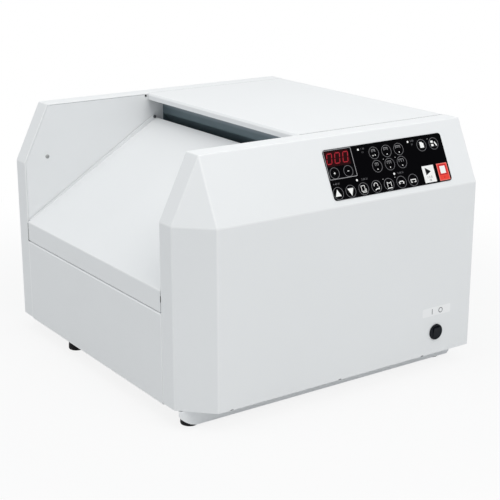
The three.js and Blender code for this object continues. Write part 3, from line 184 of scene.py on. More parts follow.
def floor_material():
    material = bpy.data.materials.new("pale_floor")
    material.use_nodes = True
    material.node_tree.nodes.clear()
    grow(material.node_tree, {
        "out": ("OutputMaterial", {}), "mix": ("MixShader", {}), "glow": ("Emission", {}),
        "matt": ("BsdfDiffuse", {"Color": (FLOOR_TONE, FLOOR_TONE, FLOOR_TONE, 1)}),
        "path": ("LightPath", {}), "place": ("TexCoord", {}),
        "far": ("VectorMath", {"operation": "LENGTH"}),
        "fade": ("MapRange", {"interpolation_type": "SMOOTHSTEP", "From Min": FADE_START,
                              "From Max": FADE_END, "To Min": FLOOR_GLOW}),
        "seen": ("Math", {"operation": "MULTIPLY"}), "shown": ("Math", {"operation": "MAXIMUM"}),
    }, """
        place.Object > far.0
        far.Value > fade.Value
        fade.0 > seen.0
        path.Is Camera Ray > shown.0
        path.Is Glossy Ray > shown.1
        shown.0 > seen.1
        seen.0 > mix.0
        matt.0 > mix.1
        glow.0 > mix.2
        mix.0 > out.0
    """)
    return material


def floor():
    bm = bmesh.new()
    corners = [(-1, -1), (1, -1), (1, 1), (-1, 1)]
    bm.faces.new([bm.verts.new((x * FLOOR_HALF, y * FLOOR_HALF, -FLOOR_DROP)) for x, y in corners])
    mesh = bpy.data.meshes.new("floor")
    bm.to_mesh(mesh)
    bm.free()
    obj = bpy.data.objects.new("floor", mesh)
    mesh.materials.append(floor_material())
    scene.collection.objects.link(obj)


floor()

# %% [markdown]
# Two effects recur in almost every finish, so each is a shader node group built once. Grain is the fine
# relief of sprayed paint or moulded plastic: it puts out a height for a Bump node and a small roughness
# change. Mottle is a broad, faint unevenness of tone, which keeps large flat panels from looking dead.

# %% Shared shader groups
NOISE_ROUGHNESS = 0.55


def new_group(name, inputs, outputs):
    """An empty shader group, and its two ends by name."""
    group = bpy.data.node_groups.new(name, "ShaderNodeTree")
    for label, value in inputs.items():
        socket = group.interface.new_socket(label, in_out="INPUT", socket_type="NodeSocketFloat")
        socket.default_value = value
    for label in outputs:
        group.interface.new_socket(label, in_out="OUTPUT", socket_type="NodeSocketFloat")
    return group, {"start": group.nodes.new("NodeGroupInput"), "end": group.nodes.new("NodeGroupOutput")}


GRAIN, ends = new_group("grain", {"Scale": 900.0, "Roughness": 0.4, "Spread": 0.05}, ["Height", "Roughness"])
grow(GRAIN, {
    "place": ("TexCoord", {}), "noise": ("TexNoise", {"Detail": 3.0, "Roughness": NOISE_ROUGHNESS}),
    "centred": ("Math", {"operation": "SUBTRACT", 1: 0.5}), "spread": ("Math", {"operation": "MULTIPLY_ADD"}),
}, """
    place.Object > noise.Vector
    start.Scale > noise.Scale
    noise.Fac > centred.0
    centred.0 > spread.0
    start.Spread > spread.1
    start.Roughness > spread.2
    noise.Fac > end.Height
    spread.0 > end.Roughness
""", **ends)
MOTTLE, ends = new_group("mottle", {"Scale": 7.0, "Low": 0.0, "High": 1.0}, ["Mask"])
grow(MOTTLE, {
    "place": ("TexCoord", {}), "noise": ("TexNoise", {"Detail": 2.0, "Roughness": NOISE_ROUGHNESS}),
    "spread": ("MapRange", {"From Min": 0.3, "From Max": 0.7}),
}, """
    place.Object > noise.Vector
    start.Scale > noise.Scale
    noise.Fac > spread.Value
    start.Low > spread.To Min
    start.High > spread.To Max
    spread.0 > end.Mask
""", **ends)
print("shader groups:", len(bpy.data.node_groups))

# %% [markdown]
# A finish is one function with a few numbers: two close tones that the mottle blends, a roughness, and
# the size and depth of the grain. Metals add a stretched grain, which reads as the brushing or rolling
# direction of the sheet.

# %% Finishes
def blended(tone, change):
    return [min(1.0, max(0.0, c * (1 + change))) for c in tone]


def finish(name, tone, roughness, metallic=0.0, grain=900.0, relief=0.02, depth=0.0002, change=0.02,
           stretch=(1, 1, 1), emission=0.0, shine=0.5):
    material = bpy.data.materials.new(name)
    material.use_nodes = True
    tree = material.node_tree
    shader = tree.nodes["Principled BSDF"]
    shader.inputs["Metallic"].default_value = metallic
    shader.inputs["Specular IOR Level"].default_value = shine
    made = grow(tree, {
        "mottle": ("Group", {"node_tree": MOTTLE}),
        "mix": ("Mix", {"data_type": "RGBA", "A": (*blended(tone, -change), 1),
                        "B": (*blended(tone, change), 1)}),
        "texture": ("Group", {"node_tree": GRAIN, "Scale": grain, "Roughness": roughness}),
        "bump": ("Bump", {"Strength": relief, "Distance": depth}),
    }, """
        mottle.Mask > mix.Factor
        mix.Result > shader.Base Color
        texture.Roughness > shader.Roughness
        bump.Normal > shader.Normal
    """, shader=shader)
    if stretch == (1, 1, 1):
        grow(tree, {}, "texture.Height > bump.Height", **made)
    else:
        grow(tree, {
            "place": ("TexCoord", {}), "mapping": ("Mapping", {"Scale": stretch}),
            "streaks": ("TexNoise", {"Scale": grain}),
        }, """
            place.Object > mapping.Vector
            mapping.0 > streaks.Vector
            streaks.Fac > bump.Height
        """, **made)
    if emission:
        shader.inputs["Emission Color"].default_value = (*tone, 1)
        shader.inputs["Emission Strength"].default_value = emission
    return material


INK = {"grain": 2500, "relief": 0.02}
PAINT = finish("pale_paint", (0.800, 0.812, 0.820), 0.42, grain=1100, relief=0.10, depth=0.0001,
               change=0.006, shine=0.4)
# The fold finish is a painted highlight: a lighter paint on every bend and bevelled fold.
FOLD_HIGHLIGHT_PAINT = finish("fold_paint", (0.832, 0.840, 0.847), 0.36, grain=1100, relief=0.06, depth=0.0001,
                    change=0.004, shine=0.5)
PAN_PAINT = finish("base_paint", (0.80, 0.815, 0.828), 0.5, grain=1100, relief=0.10, depth=0.0001,
                   change=0.01)
STEEL = finish("brushed_steel", (0.50, 0.51, 0.52), 0.30, 1.0, 500, 0.15, stretch=(1, 0.04, 1))
ZINC = finish("zinc_sheet", (0.44, 0.45, 0.45), 0.42, 1.0, 350, 0.15, change=0.07, stretch=(0.2, 1, 0.2))
# The slot's sheet is dark teal, and its dark tone also carries painted shade of the slot under the lid.
SLOT_SHADE_SHEET = finish("dark_sheet", (0.13, 0.18, 0.205), 0.48, 0.30, 500, 0.03)
DARK_SCREW = finish("dark_screw", (0.10, 0.105, 0.112), 0.42, 0.3, 700, 0.1)
# The bead grey is painted shade: a grey strip standing for the dark line in a seam.
SEAM_SHADE_GREY = finish("bead_grey", (0.40, 0.41, 0.42), 0.5, grain=1500, relief=0.05, shine=0.2)
MOULDED_CAP = finish("moulded_cap", (0.022, 0.023, 0.025), 0.38, grain=900, relief=0.1)
CHIP_BLACK = finish("chip_black", (0.014, 0.014, 0.015), 0.4, grain=1500, relief=0.1, shine=0.3)
PLATED = finish("plated_pins", (0.66, 0.60, 0.46), 0.28, 1.0, 700, 0.05)
# The seam finish is a painted highlight: the palest paint, for bright lines at the left end panel.
SEAM_HIGHLIGHT_PAINT = finish("seam_paint", (0.94, 0.945, 0.95), 0.36, grain=1100, relief=0.04, change=0.003)
BLACK_PLASTIC = finish("black_plastic", (0.008, 0.010, 0.014), 0.42, grain=1500, relief=0.15, shine=0.10)
FOOT_RUBBER = finish("foot_rubber", (0.007, 0.007, 0.008), 0.75, grain=1200, relief=0.3, shine=0.2)
ROLLER_RUBBER = finish("roller_rubber", (0.045, 0.047, 0.052), 0.75, grain=1800, relief=0.4)
NYLON = finish("nylon", (0.74, 0.72, 0.66), 0.45, grain=900, relief=0.05)
OVERLAY_FILM = finish("overlay_film", (0.0012, 0.0012, 0.0018), 0.45, grain=2500, relief=0.06, shine=0.012)
BOARD_GREEN = finish("board_green", (0.015, 0.12, 0.05), 0.35, grain=700, relief=0.1)
MOTOR_GREY = finish("motor_grey", (0.10, 0.105, 0.11), 0.45, 0.4, 700, 0.1)
PRINT_WHITE = finish("print_white", (0.86, 0.86, 0.85), 0.45, **INK)
PRINT_GREY = finish("print_grey", (0.30, 0.30, 0.31), 0.45, **INK)
PRINT_RING = finish("print_ring", (0.19, 0.19, 0.20), 0.45, **INK, shine=0.1)
PRINT_DIM = finish("print_dim", (0.16, 0.16, 0.17), 0.45, **INK, shine=0.1)
PRINT_RED = finish("print_red", (0.80, 0.050, 0.035), 0.4, **INK, shine=0.2)
PRINT_PINK = finish("print_pink", (0.82, 0.20, 0.17), 0.4, **INK, shine=0.2)
PRINT_DARK_RED = finish("print_dark_red", (0.42, 0.010, 0.025), 0.4, **INK, shine=0.2)
PRINT_BLACK = finish("print_black", (0.004, 0.004, 0.005), 0.4, **INK, shine=0.05)
DISPLAY_RED = finish("display_red", (0.32, 0.018, 0.028), 0.35, emission=0.25, shine=0.05)
DISPLAY_GLASS = finish("display_glass", (0.020, 0.0012, 0.0022), 0.3, shine=0.05)
STICKER = finish("sticker", (0.868, 0.874, 0.880), 0.32, **INK)

# Painted light on the slot's sheet: it turns lighter towards its top, where light falls in under the lid.
PAINTED_LIGHT_TOP = (0.62, 0.65, 0.71)
PAINTED_LIGHT_SPAN = (0.334, 0.356)


def fade_upwards(material, tone, span):
    """Blends the finish to another tone between two heights: painted light above, painted shade below."""
    shader = material.node_tree.nodes["Principled BSDF"]
    grow(material.node_tree, {
        "place": ("TexCoord", {}), "parts": ("SeparateXYZ", {}),
        "ramp": ("MapRange", {"From Min": span[0], "From Max": span[1]}),
        "fade": ("Mix", {"data_type": "RGBA", "B": (*tone, 1)}),
    }, """
        place.Object > parts.0
        parts.Z > ramp.Value
        ramp.0 > fade.Factor
        old.Result > fade.A
        fade.Result > shader.Base Color
    """, shader=shader, old=shader.inputs["Base Color"].links[0].from_node)


fade_upwards(SLOT_SHADE_SHEET, PAINTED_LIGHT_TOP, PAINTED_LIGHT_SPAN)

NODE_FINISH = {
    "paint": PAINT, "pan": PAN_PAINT, "steel": STEEL, "zinc": ZINC, "black_plastic": BLACK_PLASTIC,
    "foot_rubber": FOOT_RUBBER, "roller_rubber": ROLLER_RUBBER, "nylon": NYLON,
    "overlay_film": OVERLAY_FILM, "board": BOARD_GREEN, "motor_grey": MOTOR_GREY,
}
node_slot = {part["node"]: part["material_slot"] for part in frame["record"]["subparts"]}
for node, obj in frame["nodes"].items():
    obj.data.materials.clear()
    obj.data.materials.append(NODE_FINISH[node_slot[node]])
# The exit guide takes the slot's sheet, with its painted shade and painted light.
frame["nodes"]["exit_guide_right"].data.materials[0] = SLOT_SHADE_SHEET
for node in ("deck_pivot_near", "deck_pivot_far"):
    frame["nodes"][node].data.materials[0] = DARK_SCREW
print("finishes:", len(bpy.data.materials))

# %% [markdown]
# Folded sheet never has a knife edge: each bend has a radius of about its own thickness. Its thin highlight
# is painted: the bend's faces take a lighter fold finish. The imported covers have sharp folds, so each
# shell is copied, welded, its flat triangles are dissolved into whole faces, and its folds are bevelled. A
# face that no point of the shell stands in front of is an outer face, and an edge between two of these is a
# fold. All other edges are cut edges, which only get a hairline.

# %% Soft folds
WELD = 2e-6
FLAT_ANGLE = math.radians(0.6)
SMOOTH_ANGLE = math.radians(32)
EDGE_ANGLE = math.radians(24)
FOLD_ANGLE = math.radians(8)
BEND_STRIP = 1.6 * MM
BEND_LENGTH = 60 * MM
BEND_STEP = math.radians(40)


def welded(node):
    bm = bmesh.new()
    bm.from_mesh(frame["nodes"][node].data)
    bmesh.ops.remove_doubles(bm, verts=bm.verts, dist=WELD)
    bmesh.ops.dissolve_limit(bm, angle_limit=FLAT_ANGLE, verts=bm.verts, edges=bm.edges)
    bm.normal_update()
    return bm


def is_outer(face, bm):
    here = face.calc_center_median()
    return all(face.normal.dot(v.co - here) < 1e-5 for v in bm.verts)


def fold_edges(bm):
    outer = {f.index for f in bm.faces if is_outer(f, bm) and f.normal.z > -0.9}
    return [e for e in bm.edges if len(e.link_faces) == 2
            and all(f.index in outer for f in e.link_faces) and e.calc_face_angle() > FOLD_ANGLE]


def bevelled(bm, edges, width, segments, finish_index=-1):
    bmesh.ops.bevel(bm, geom=edges, offset=width, offset_type="OFFSET", segments=segments, profile=0.5,
                    affect="EDGES", clamp_overlap=True, material=finish_index, loop_slide=True)
    bm.normal_update()


def cut_edges(bm):
    return [e for e in bm.edges if e.is_manifold and e.calc_face_angle() > EDGE_ANGLE]


def mark_bends(bm):
    """Gives the narrow strips of a rounded bend the second, lighter finish: a painted highlight. Returns
    their number.
    """
    count = 0
    for face in bm.faces:
        lengths = sorted(edge.calc_length() for edge in face.edges)
        if len(lengths) != 4 or lengths[1] > BEND_STRIP or lengths[2] < BEND_LENGTH:
            continue
        sides = [edge for edge in face.edges if edge.calc_length() > BEND_LENGTH and edge.is_manifold]
        if len(sides) == 2 and all(edge.calc_face_angle() < BEND_STEP for edge in sides):
            face.material_index = 1
            count += 1
    return count


def dressed(bm, name, material, body, weighted=True, highlight_finish=None):
    """Turns a finished bmesh into a piece that rides on a body."""
    for face in bm.faces:
        face.smooth = True
    for edge in bm.edges:
        edge.smooth = edge.is_manifold and edge.calc_face_angle() < SMOOTH_ANGLE
    mesh = bpy.data.meshes.new(name)
    bm.to_mesh(mesh)
    bm.free()
    obj = bpy.data.objects.new(name, mesh)
    scene.collection.objects.link(obj)
    mesh.materials.append(material)
    if highlight_finish:
        mesh.materials.append(highlight_finish)
    if weighted:
        modifier = obj.modifiers.new("flat_faces_first", "WEIGHTED_NORMAL")
        modifier.keep_sharp = True
        modifier.weight = 80
        baked = bpy.data.meshes.new_from_object(obj.evaluated_get(bpy.context.evaluated_depsgraph_get()))
        obj.modifiers.clear()
        obj.data = baked
        baked.name = name
    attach(obj, body)
    return obj


def folded_copy(node, name, material, body, fold=0.0, edge=0.3 * MM, highlight_finish=None):
    bm = welded(node)
    bends = mark_bends(bm) if highlight_finish else 0
    if fold:
        bevelled(bm, fold_edges(bm), fold, 4, 1)
    bevelled(bm, cut_edges(bm), edge, 2)
    count = len(bm.faces)
    obj = dressed(bm, name, material, body, highlight_finish=highlight_finish)
    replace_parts(obj, node)
    print(name, count, "faces,", bends, "bend strips")
    return obj


COVER_FOLD = 1.5 * MM
folded_copy("near_cover", "near_housing_shell", PAINT, "root", COVER_FOLD, highlight_finish=FOLD_HIGHLIGHT_PAINT)
folded_copy("far_cover", "far_housing_shell", PAINT, "root", COVER_FOLD, highlight_finish=FOLD_HIGHLIGHT_PAINT)
for node, name, body in [("top_cover", "lid_sheet", "lid"), ("deck", "deck_sheet", "deck_plate"),
                         ("lower_left_panel", "left_end_sheet", "root"),
                         ("rear_end_panel", "rear_end_sheet", "root"),
                         ("infeed_panel", "infeed_sheet", "root")]:
    # Bend strips get a painted highlight; the left end panel's, under the deck's lip, gets the palest.
    light = SEAM_HIGHLIGHT_PAINT if node == "lower_left_panel" else FOLD_HIGHLIGHT_PAINT
    folded_copy(node, name, PAINT, body, edge=0.25 * MM, highlight_finish=light)
folded_copy("base_pan", "base_pan_sheet", PAN_PAINT, "root", edge=0.3 * MM)

# %% [markdown]
# The feet are turned rubber bumpers, each held by a screw from below. A foot is a revolved profile: a
# rounded tread, a shallow groove, a slight taper up to the pan and a recess for the screw's head.

# %% Feet
FOOT_PROFILE_SHARES = [(0.0, 0.16), (0.36, 0.16), (0.40, 0.14), (0.42, 0.0), (0.90, 0.0), (0.97, 0.03),
                       (1.0, 0.10), (0.985, 0.42), (0.955, 0.46), (0.955, 0.54), (0.975, 0.58),
                       (0.90, 0.97), (0.86, 1.0), (0.0, 1.0)]
FOOT_HEIGHT = 18 * MM
FOOT_STEPS = 48


def middle(node):
    low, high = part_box(node)
    return (low + high) / 2


def revolved(bm, profile, centre, axis="Z", steps=FOOT_STEPS):
    """A closed solid of revolution from (radius, height) points."""
    rings = []
    for radius, height in profile:
        ring = []
        for i in range(steps if radius > 0 else 1):
            angle = 2 * math.pi * i / steps
            local = Vector((radius * math.cos(angle), radius * math.sin(angle), height))
            if axis == "Y":
                local = Vector((local.x, local.z, -local.y))
            ring.append(bm.verts.new(Vector(centre) + local))
        rings.append(ring)
    for low, high in zip(rings, rings[1:]):
        for i in range(steps):
            j = (i + 1) % steps
            corners = [low[i % len(low)], low[j % len(low)], high[j % len(high)], high[i % len(high)]]
            unique = list(dict.fromkeys(corners))
            if len(unique) > 2:
                bm.faces.new(unique)
    bmesh.ops.recalc_face_normals(bm, faces=bm.faces)


for node in ["foot_near_left", "foot_far_left", "foot_near_right", "foot_far_right"]:
    low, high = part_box(node)
    centre = middle(node)
    radius = (high.x - low.x) / 2
    bm = bmesh.new()
    revolved(bm, [(r * radius, z * FOOT_HEIGHT) for r, z in FOOT_PROFILE_SHARES], (centre.x, centre.y, 0))
    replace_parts(dressed(bm, node + "_bumper", FOOT_RUBBER, "root"), node)

# %% [markdown]
# The control panel is one printed film stuck in a shallow pocket on the near housing's slope. All its
# marks are given as places along the machine and up the slope, in millimetres, and one matrix lays the
# flat artwork on the slope. Each printed colour is one thin closed mesh, a twentieth of a millimetre
# proud of the film, as a screen print is.

# %% Flat artwork on the slope
SHOULDER_Z = 274 * MM
SLOPE_RUN = 41.5
SLOPE_RISE = 85.5
near_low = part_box("near_cover")[0]
slope_turn = Matrix.Rotation(math.atan2(SLOPE_RISE, SLOPE_RUN), 4, "X")
ON_SLOPE = Matrix.Translation((0, near_low.y, SHOULDER_Z)) @ slope_turn
ON_FRONT = Matrix.Translation((0, near_low.y, 0)) @ Matrix.Rotation(math.pi / 2, 4, "X")
FILM_TOP = 0.8
PRINT = 0.06
KEY_TOP = FILM_TOP + PRINT


def arc(centre, radius, start, end, steps):
    return [(centre[0] + radius * math.cos(math.radians(start + (end - start) * i / steps)),
             centre[1] + radius * math.sin(math.radians(start + (end - start) * i / steps)))
            for i in range(steps + 1)]


def rounded_box(x0, y0, x1, y1, corner, steps=6):
    return (arc((x1 - corner, y0 + corner), corner, -90, 0, steps)
            + arc((x1 - corner, y1 - corner), corner, 0, 90, steps)
            + arc((x0 + corner, y1 - corner), corner, 90, 180, steps)
            + arc((x0 + corner, y0 + corner), corner, 180, 270, steps))


def box_about(x, y, wide, tall, corner, steps=6):
    return rounded_box(x - wide / 2, y - tall / 2, x + wide / 2, y + tall / 2, corner, steps)


def full_circle(centre, radius, steps=40):
    return arc(centre, radius, 0, 360, steps)[:-1]


def add_slab(bm, outline, low, high, inner=None):
    """A thin closed plate, or a frame where inner is an outline with as many points."""
    loops = []
    for line in [outline] + ([inner] if inner else []):
        for height in (low, high):
            loops.append([bm.verts.new((x * MM, y * MM, height * MM)) for x, y in line])
    count = len(outline)
    if inner:
        for i in range(count):
            j = (i + 1) % count
            o_low, o_high, i_low, i_high = loops
            bm.faces.new((o_low[i], o_low[j], o_high[j], o_high[i]))
            bm.faces.new((i_low[j], i_low[i], i_high[i], i_high[j]))
            bm.faces.new((o_high[i], o_high[j], i_high[j], i_high[i]))
            bm.faces.new((o_low[j], o_low[i], i_low[i], i_low[j]))
        return
    low_loop, high_loop = loops
    bm.faces.new(high_loop)
    bm.faces.new(low_loop[::-1])
    for i in range(count):
        j = (i + 1) % count
        bm.faces.new((low_loop[i], low_loop[j], high_loop[j], high_loop[i]))


def add_stroke(bm, points, width, low, high):
    """A line of constant width through points."""
    left, right = [], []
    for i, point in enumerate(points):
        here = Vector(point)
        before = here - Vector(points[i - 1]) if i else Vector(points[1]) - here
        after = Vector(points[i + 1]) - here if i < len(points) - 1 else before
        side_a = Vector((-before.y, before.x)).normalized()
        side_b = Vector((-after.y, after.x)).normalized()
        side = (side_a + side_b).normalized()
        reach = width / 2 / max(0.35, side.dot(side_a))
        left.append(here + side * reach)
        right.append(here - side * reach)
    add_slab(bm, [tuple(p) for p in right + left[::-1]], low, high)


def printed(name, material, slabs=(), frames=(), strokes=(), place=ON_SLOPE, low=FILM_TOP - 0.02,
            high=KEY_TOP):
    """One printed colour: outlines, (outer, inner) frames and (width, points[, extra height]) strokes."""
    bm = bmesh.new()
    for outline in slabs:
        add_slab(bm, outline, low, high)
    for outer, inner in frames:
        add_slab(bm, outer, low, high, inner)
    for width, points, *lift in strokes:
        add_stroke(bm, points, width, low, high + sum(lift))
    bm.transform(place)
    bmesh.ops.recalc_face_normals(bm, faces=bm.faces)
    return dressed(bm, name, material, "root", weighted=False)


# %% [markdown]
# The film comes first: a plate with round corners and a slightly broken upper edge.

# %% The film itself
FILM = (-12.5, 8.0, 196.0, 77.0)
FILM_CORNER = 4.0
FILM_FOOT = -0.15
film = bmesh.new()
add_slab(film, rounded_box(*FILM, FILM_CORNER), FILM_FOOT, FILM_TOP)
top_edges = [e for e in film.edges if all(v.co.z > FILM_TOP * MM - 1e-6 for v in e.verts)]
bevelled(film, top_edges, 0.25 * MM, 2)
film.transform(ON_SLOPE)
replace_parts(dressed(film, "control_film", OVERLAY_FILM, "root"), "control_overlay")

# %% [markdown]
# Seventeen ring keys share one outline, so Geometry Nodes draws them: every key is a point, and the tree
# sweeps a thin flat section round a circle at each point. The ring's radius and line width are inputs.

# %% Key rings
KEY_PLACES = ([(-4.2, 17.3), (16.9, 17.3)]
              + [(x, t) for t in (63.1, 44.5) for x in (71.5, 93.6, 115.3)]
              + [(x, 17.5) for x in (39.0, 61.2, 83.2, 105.4, 126.6)]
              + [(157.4, 63.2), (179.8, 63.1)])
SMALL_KEY_PLACES = [(-1.6, 44.5), (21.4, 44.6)]
KEY_RADIUS = 8.25
SMALL_KEY_RADIUS = 7.5
KEY_LINE = 0.55

COPY_WIRES = """
    start.Points > copies.Points
    copies.Instances > real.Geometry
    real.Geometry > paint.Geometry
    start.Finish > paint.Material
    paint.Geometry > end.Copies
"""


def copying_tree(name, inputs, nodes, wires):
    """A tree that sets copies at points. Returns it with the identifiers of its inputs."""
    tree = bpy.data.node_groups.new(name, "GeometryNodeTree")
    sockets = {}
    for label, kind in {"Points": "Geometry", **inputs, "Finish": "Material"}.items():
        socket = tree.interface.new_socket(label, in_out="INPUT", socket_type="NodeSocket" + kind)
        sockets[label] = socket.identifier
    tree.interface.new_socket("Copies", in_out="OUTPUT", socket_type="NodeSocketGeometry")
    grow(tree, {"start": ("NodeGroupInput", {}), "end": ("NodeGroupOutput", {}),
                "copies": ("GeometryNodeInstanceOnPoints", {}), "real": ("GeometryNodeRealizeInstances", {}),
                "paint": ("GeometryNodeSetMaterial", {}), **nodes}, COPY_WIRES + wires.strip())
    return tree, sockets


def from_nodes(name, points, tree, values, place, material):
    """Points in, tree on, plain mesh out: the modifier is gone before the piece rides."""
    mesh = bpy.data.meshes.new(name + "_points")
    mesh.from_pydata([tuple(p) for p, _ in points], [], [])
    aim = mesh.attributes.new("aim", "FLOAT_VECTOR", "POINT")
    aim.data.foreach_set("vector", [c for _, direction in points for c in direction])
    obj = bpy.data.objects.new(name, mesh)
    scene.collection.objects.link(obj)
    modifier = obj.modifiers.new("tree", "NODES")
    modifier.node_group = tree
    for identifier, value in values.items():
        modifier[identifier] = value
    result = bpy.data.meshes.new_from_object(obj.evaluated_get(bpy.context.evaluated_depsgraph_get()))
    obj.modifiers.clear()
    obj.data = result
    bm = bmesh.new()
    bm.from_mesh(result)
    bmesh.ops.recalc_face_normals(bm, faces=bm.faces)
    bm.transform(place)
    bpy.data.objects.remove(obj)
    piece = dressed(bm, name, material, "root", weighted=False)
    print(name, len(points), "copies,", len(piece.data.polygons), "faces")
    return piece


RINGS, ring_socket = copying_tree(
    "rings_at_points", {"Radius": "Float", "Line": "Float", "Height": "Float"},
    {"circle": ("GeometryNodeCurvePrimitiveCircle", {"Resolution": 48}),
     "section": ("GeometryNodeCurvePrimitiveQuadrilateral", {}),
     "sweep": ("GeometryNodeCurveToMesh", {})}, """
    start.Radius > circle.Radius
    start.Line > section.Width
    start.Height > section.Height
    circle.Curve > sweep.Curve
    section.Curve > sweep.Profile Curve
    sweep.Mesh > copies.Instance
""")
FLAT = Vector((0, 0, 1))
for name, places, radius in [("key_rings", KEY_PLACES, KEY_RADIUS),
                             ("small_key_rings", SMALL_KEY_PLACES, SMALL_KEY_RADIUS)]:
    key_points = [(Vector((x, t, FILM_TOP)) * MM, FLAT) for x, t in places]
    from_nodes(name, key_points, RINGS,
               {ring_socket["Radius"]: radius * MM, ring_socket["Line"]: KEY_LINE * MM,
                ring_socket["Height"]: 2 * PRINT * MM, ring_socket["Finish"]: PRINT_RING},
               ON_SLOPE, PRINT_RING)

# %% [markdown]
# The counter shows three plain zeros on a seven-segment display behind a red window. A segment is a
# slim hexagon; the upright ones lean a little, as they do on a real display.

# %% The counter
DIGIT_PLACES = [(-4.3, 64.2), (9.0, 64.2), (22.6, 64.2)]
DIGIT_SIZE = (8.0, 13.8)
DIGIT_LINE = 1.3
DIGIT_LEAN = math.tan(math.radians(13))


def segment_outlines(centre):
    half_w, half_h = DIGIT_SIZE[0] / 2, DIGIT_SIZE[1] / 2
    corners = {"tl": (-half_w, half_h), "tr": (half_w, half_h), "ml": (-half_w, 0), "mr": (half_w, 0),
               "bl": (-half_w, -half_h), "br": (half_w, -half_h)}
    for a, b in [("tl", "tr"), ("tl", "ml"), ("tr", "mr"), ("ml", "bl"), ("mr", "br"), ("bl", "br")]:
        start, end = Vector(corners[a]), Vector(corners[b])
        along = (end - start).normalized()
        across = Vector((-along.y, along.x)) * DIGIT_LINE / 2
        tip = along * DIGIT_LINE * 0.25
        shoulder = along * (DIGIT_LINE * 0.25 + DIGIT_LINE / 2)
        points = [start + tip, start + shoulder + across, end - shoulder + across, end - tip,
                  end - shoulder - across, start + shoulder - across]
        yield [(centre[0] + p.x + p.y * DIGIT_LEAN, centre[1] + p.y) for p in points]


printed("display_window", DISPLAY_GLASS, [rounded_box(-10.6, 53.6, 29.4, 74.2, 1.2)],
        high=KEY_TOP - PRINT / 2)
printed("display_digits", DISPLAY_RED, [line for centre in DIGIT_PLACES for line in segment_outlines(centre)])

# %% [markdown]
# The rest of the print: a thin frame round the counter, plus and minus, the arrow keys, page pictograms,
# indicator dots, plain numbers beside them, and the two large keys on the right, one white and one red.

# %% Printed marks
DOTS = {  # radius and corners: places
    (1.5, 20): [(46.4, 70.8), (134.4, 70.8)],
    (1.6, 20): [(96.6, 30.4), (31.4, 30.4)],
    (0.5, 12): [(84.7, 52.6), (105.6, 52.6), (75.1, 25.6), (96.1, 25.6), (170.5, 70.8)],
    (0.85, 16): [(68.9, 59.6), (72.9, 60.0), (93.6, 58.8), (115.3, 58.8), (71.3, 40.2), (93.4, 40.2),
                 (115.3, 40.2)],
}
LOWER_STROKES = [
    (0.8, [(36.2, 12.6), (42.8, 12.6), (42.8, 17.4)]),
    (0.8, arc((60.6, 19.4), 3.2, 200, -30, 10)),
    (1.3, [(58.2, 12.8), (61.8, 14.4), (65.0, 14.0), (65.0, 16.8)]),
    (0.8, [(80.4, 14.0), (80.4, 20.4), (83.7, 18.8), (87.0, 20.4), (87.0, 14.0)]),
    (1.1, [(79.6, 12.2), (87.8, 12.2)]),
    (1.2, [(101.2, 15.6), (102.8, 18.6), (107.8, 18.6), (109.4, 15.6)]),
    (0.9, [(101.0, 18.0), (101.2, 15.4), (103.6, 15.6)]),
    (0.9, [(109.6, 18.0), (109.4, 15.4), (107.0, 15.6)]),
    (1.1, [(122.4, 14.6), (122.4, 18.2), (126.6, 18.2), (130.8, 18.2), (130.8, 14.6)]),
    (1.1, [(122.4, 14.6), (125.2, 14.6)]),
    (1.1, [(130.8, 14.6), (128.0, 14.6)]),
]
PAGE_STACK = (0.6, 5.4, 1.2)  # line width, first width, growth from key to key


def upper_strokes():
    line, first, growth = PAGE_STACK
    for row, t in enumerate((65.6, 46.6)):
        for column, x in enumerate((71.2, 93.0, 114.6)):
            wide = first + growth * column
            yield line, [(x - wide / 2, t + 2.4), (x + wide / 2, t + 2.4)]
            for side in (x - wide / 2, x + wide / 2):
                yield line, [(side, t - 1.2), (side, t + 2.2)]
            mark = [(x, t - 1.6), (x, t + 1.8)] if row else [(x - wide / 3, t + 0.4), (x + wide / 3, t + 0.4)]
            yield line, mark


printed("counter_frame_print", PRINT_GREY, frames=[(rounded_box(-12.2, 36.0, 34.6, 76.2, 1.4),
                                                    rounded_box(-11.4, 36.8, 33.8, 75.4, 0.9))])
printed("plus_minus_print", PRINT_WHITE, strokes=[(0.9, [(-3.2, 44.5), (0.0, 44.5)]),
                                                  (0.86, [(-1.6, 42.9), (-1.6, 46.1)], PRINT / 4),
                                                  (0.9, [(19.9, 44.6), (22.9, 44.6)])])
printed("arrow_print", PRINT_WHITE, [[(-9.6, 13.2), (0.2, 13.2), (-4.9, 22.8)],
                                     [(12.0, 21.4), (17.4, 11.0), (22.2, 21.4)]])
printed("indicator_print", PRINT_WHITE, [full_circle(place, radius, steps)
                                         for (radius, steps), places in DOTS.items() for place in places])
printed("lower_pictogram_print", PRINT_WHITE, strokes=LOWER_STROKES,
        frames=[(box_about(38.2, 18.0, 6.6, 8.4, 0.4, 2), box_about(38.2, 18.0, 5.0, 6.8, 0.1, 2))])
printed("upper_pictogram_print", PRINT_GREY, strokes=upper_strokes())
printed("right_icon_print", PRINT_WHITE,
        [[(154.6, 59.6), (161.4, 59.6), (161.4, 66.4), (159.2, 66.4), (159.2, 68.0), (154.6, 68.0)],
         rounded_box(174.8, 64.4, 179.2, 67.6, 0.5), rounded_box(174.8, 59.4, 179.2, 62.6, 0.5)],
        strokes=[(2.0, [(181.6, 65.6), (184.6, 59.6)])])
printed("start_key_print", PRINT_WHITE, [rounded_box(146.9, 9.8, 168.0, 33.8, 0.5)])
printed("start_arrow_print", PRINT_BLACK, [[(152.0, 20.4), (161.4, 25.2), (152.0, 31.2)]],
        low=KEY_TOP, high=KEY_TOP + PRINT)
stop_key = rounded_box(174.0, 9.4, 193.2, 34.0, 0.6)
printed("stop_key_print", PRINT_RED, [stop_key])
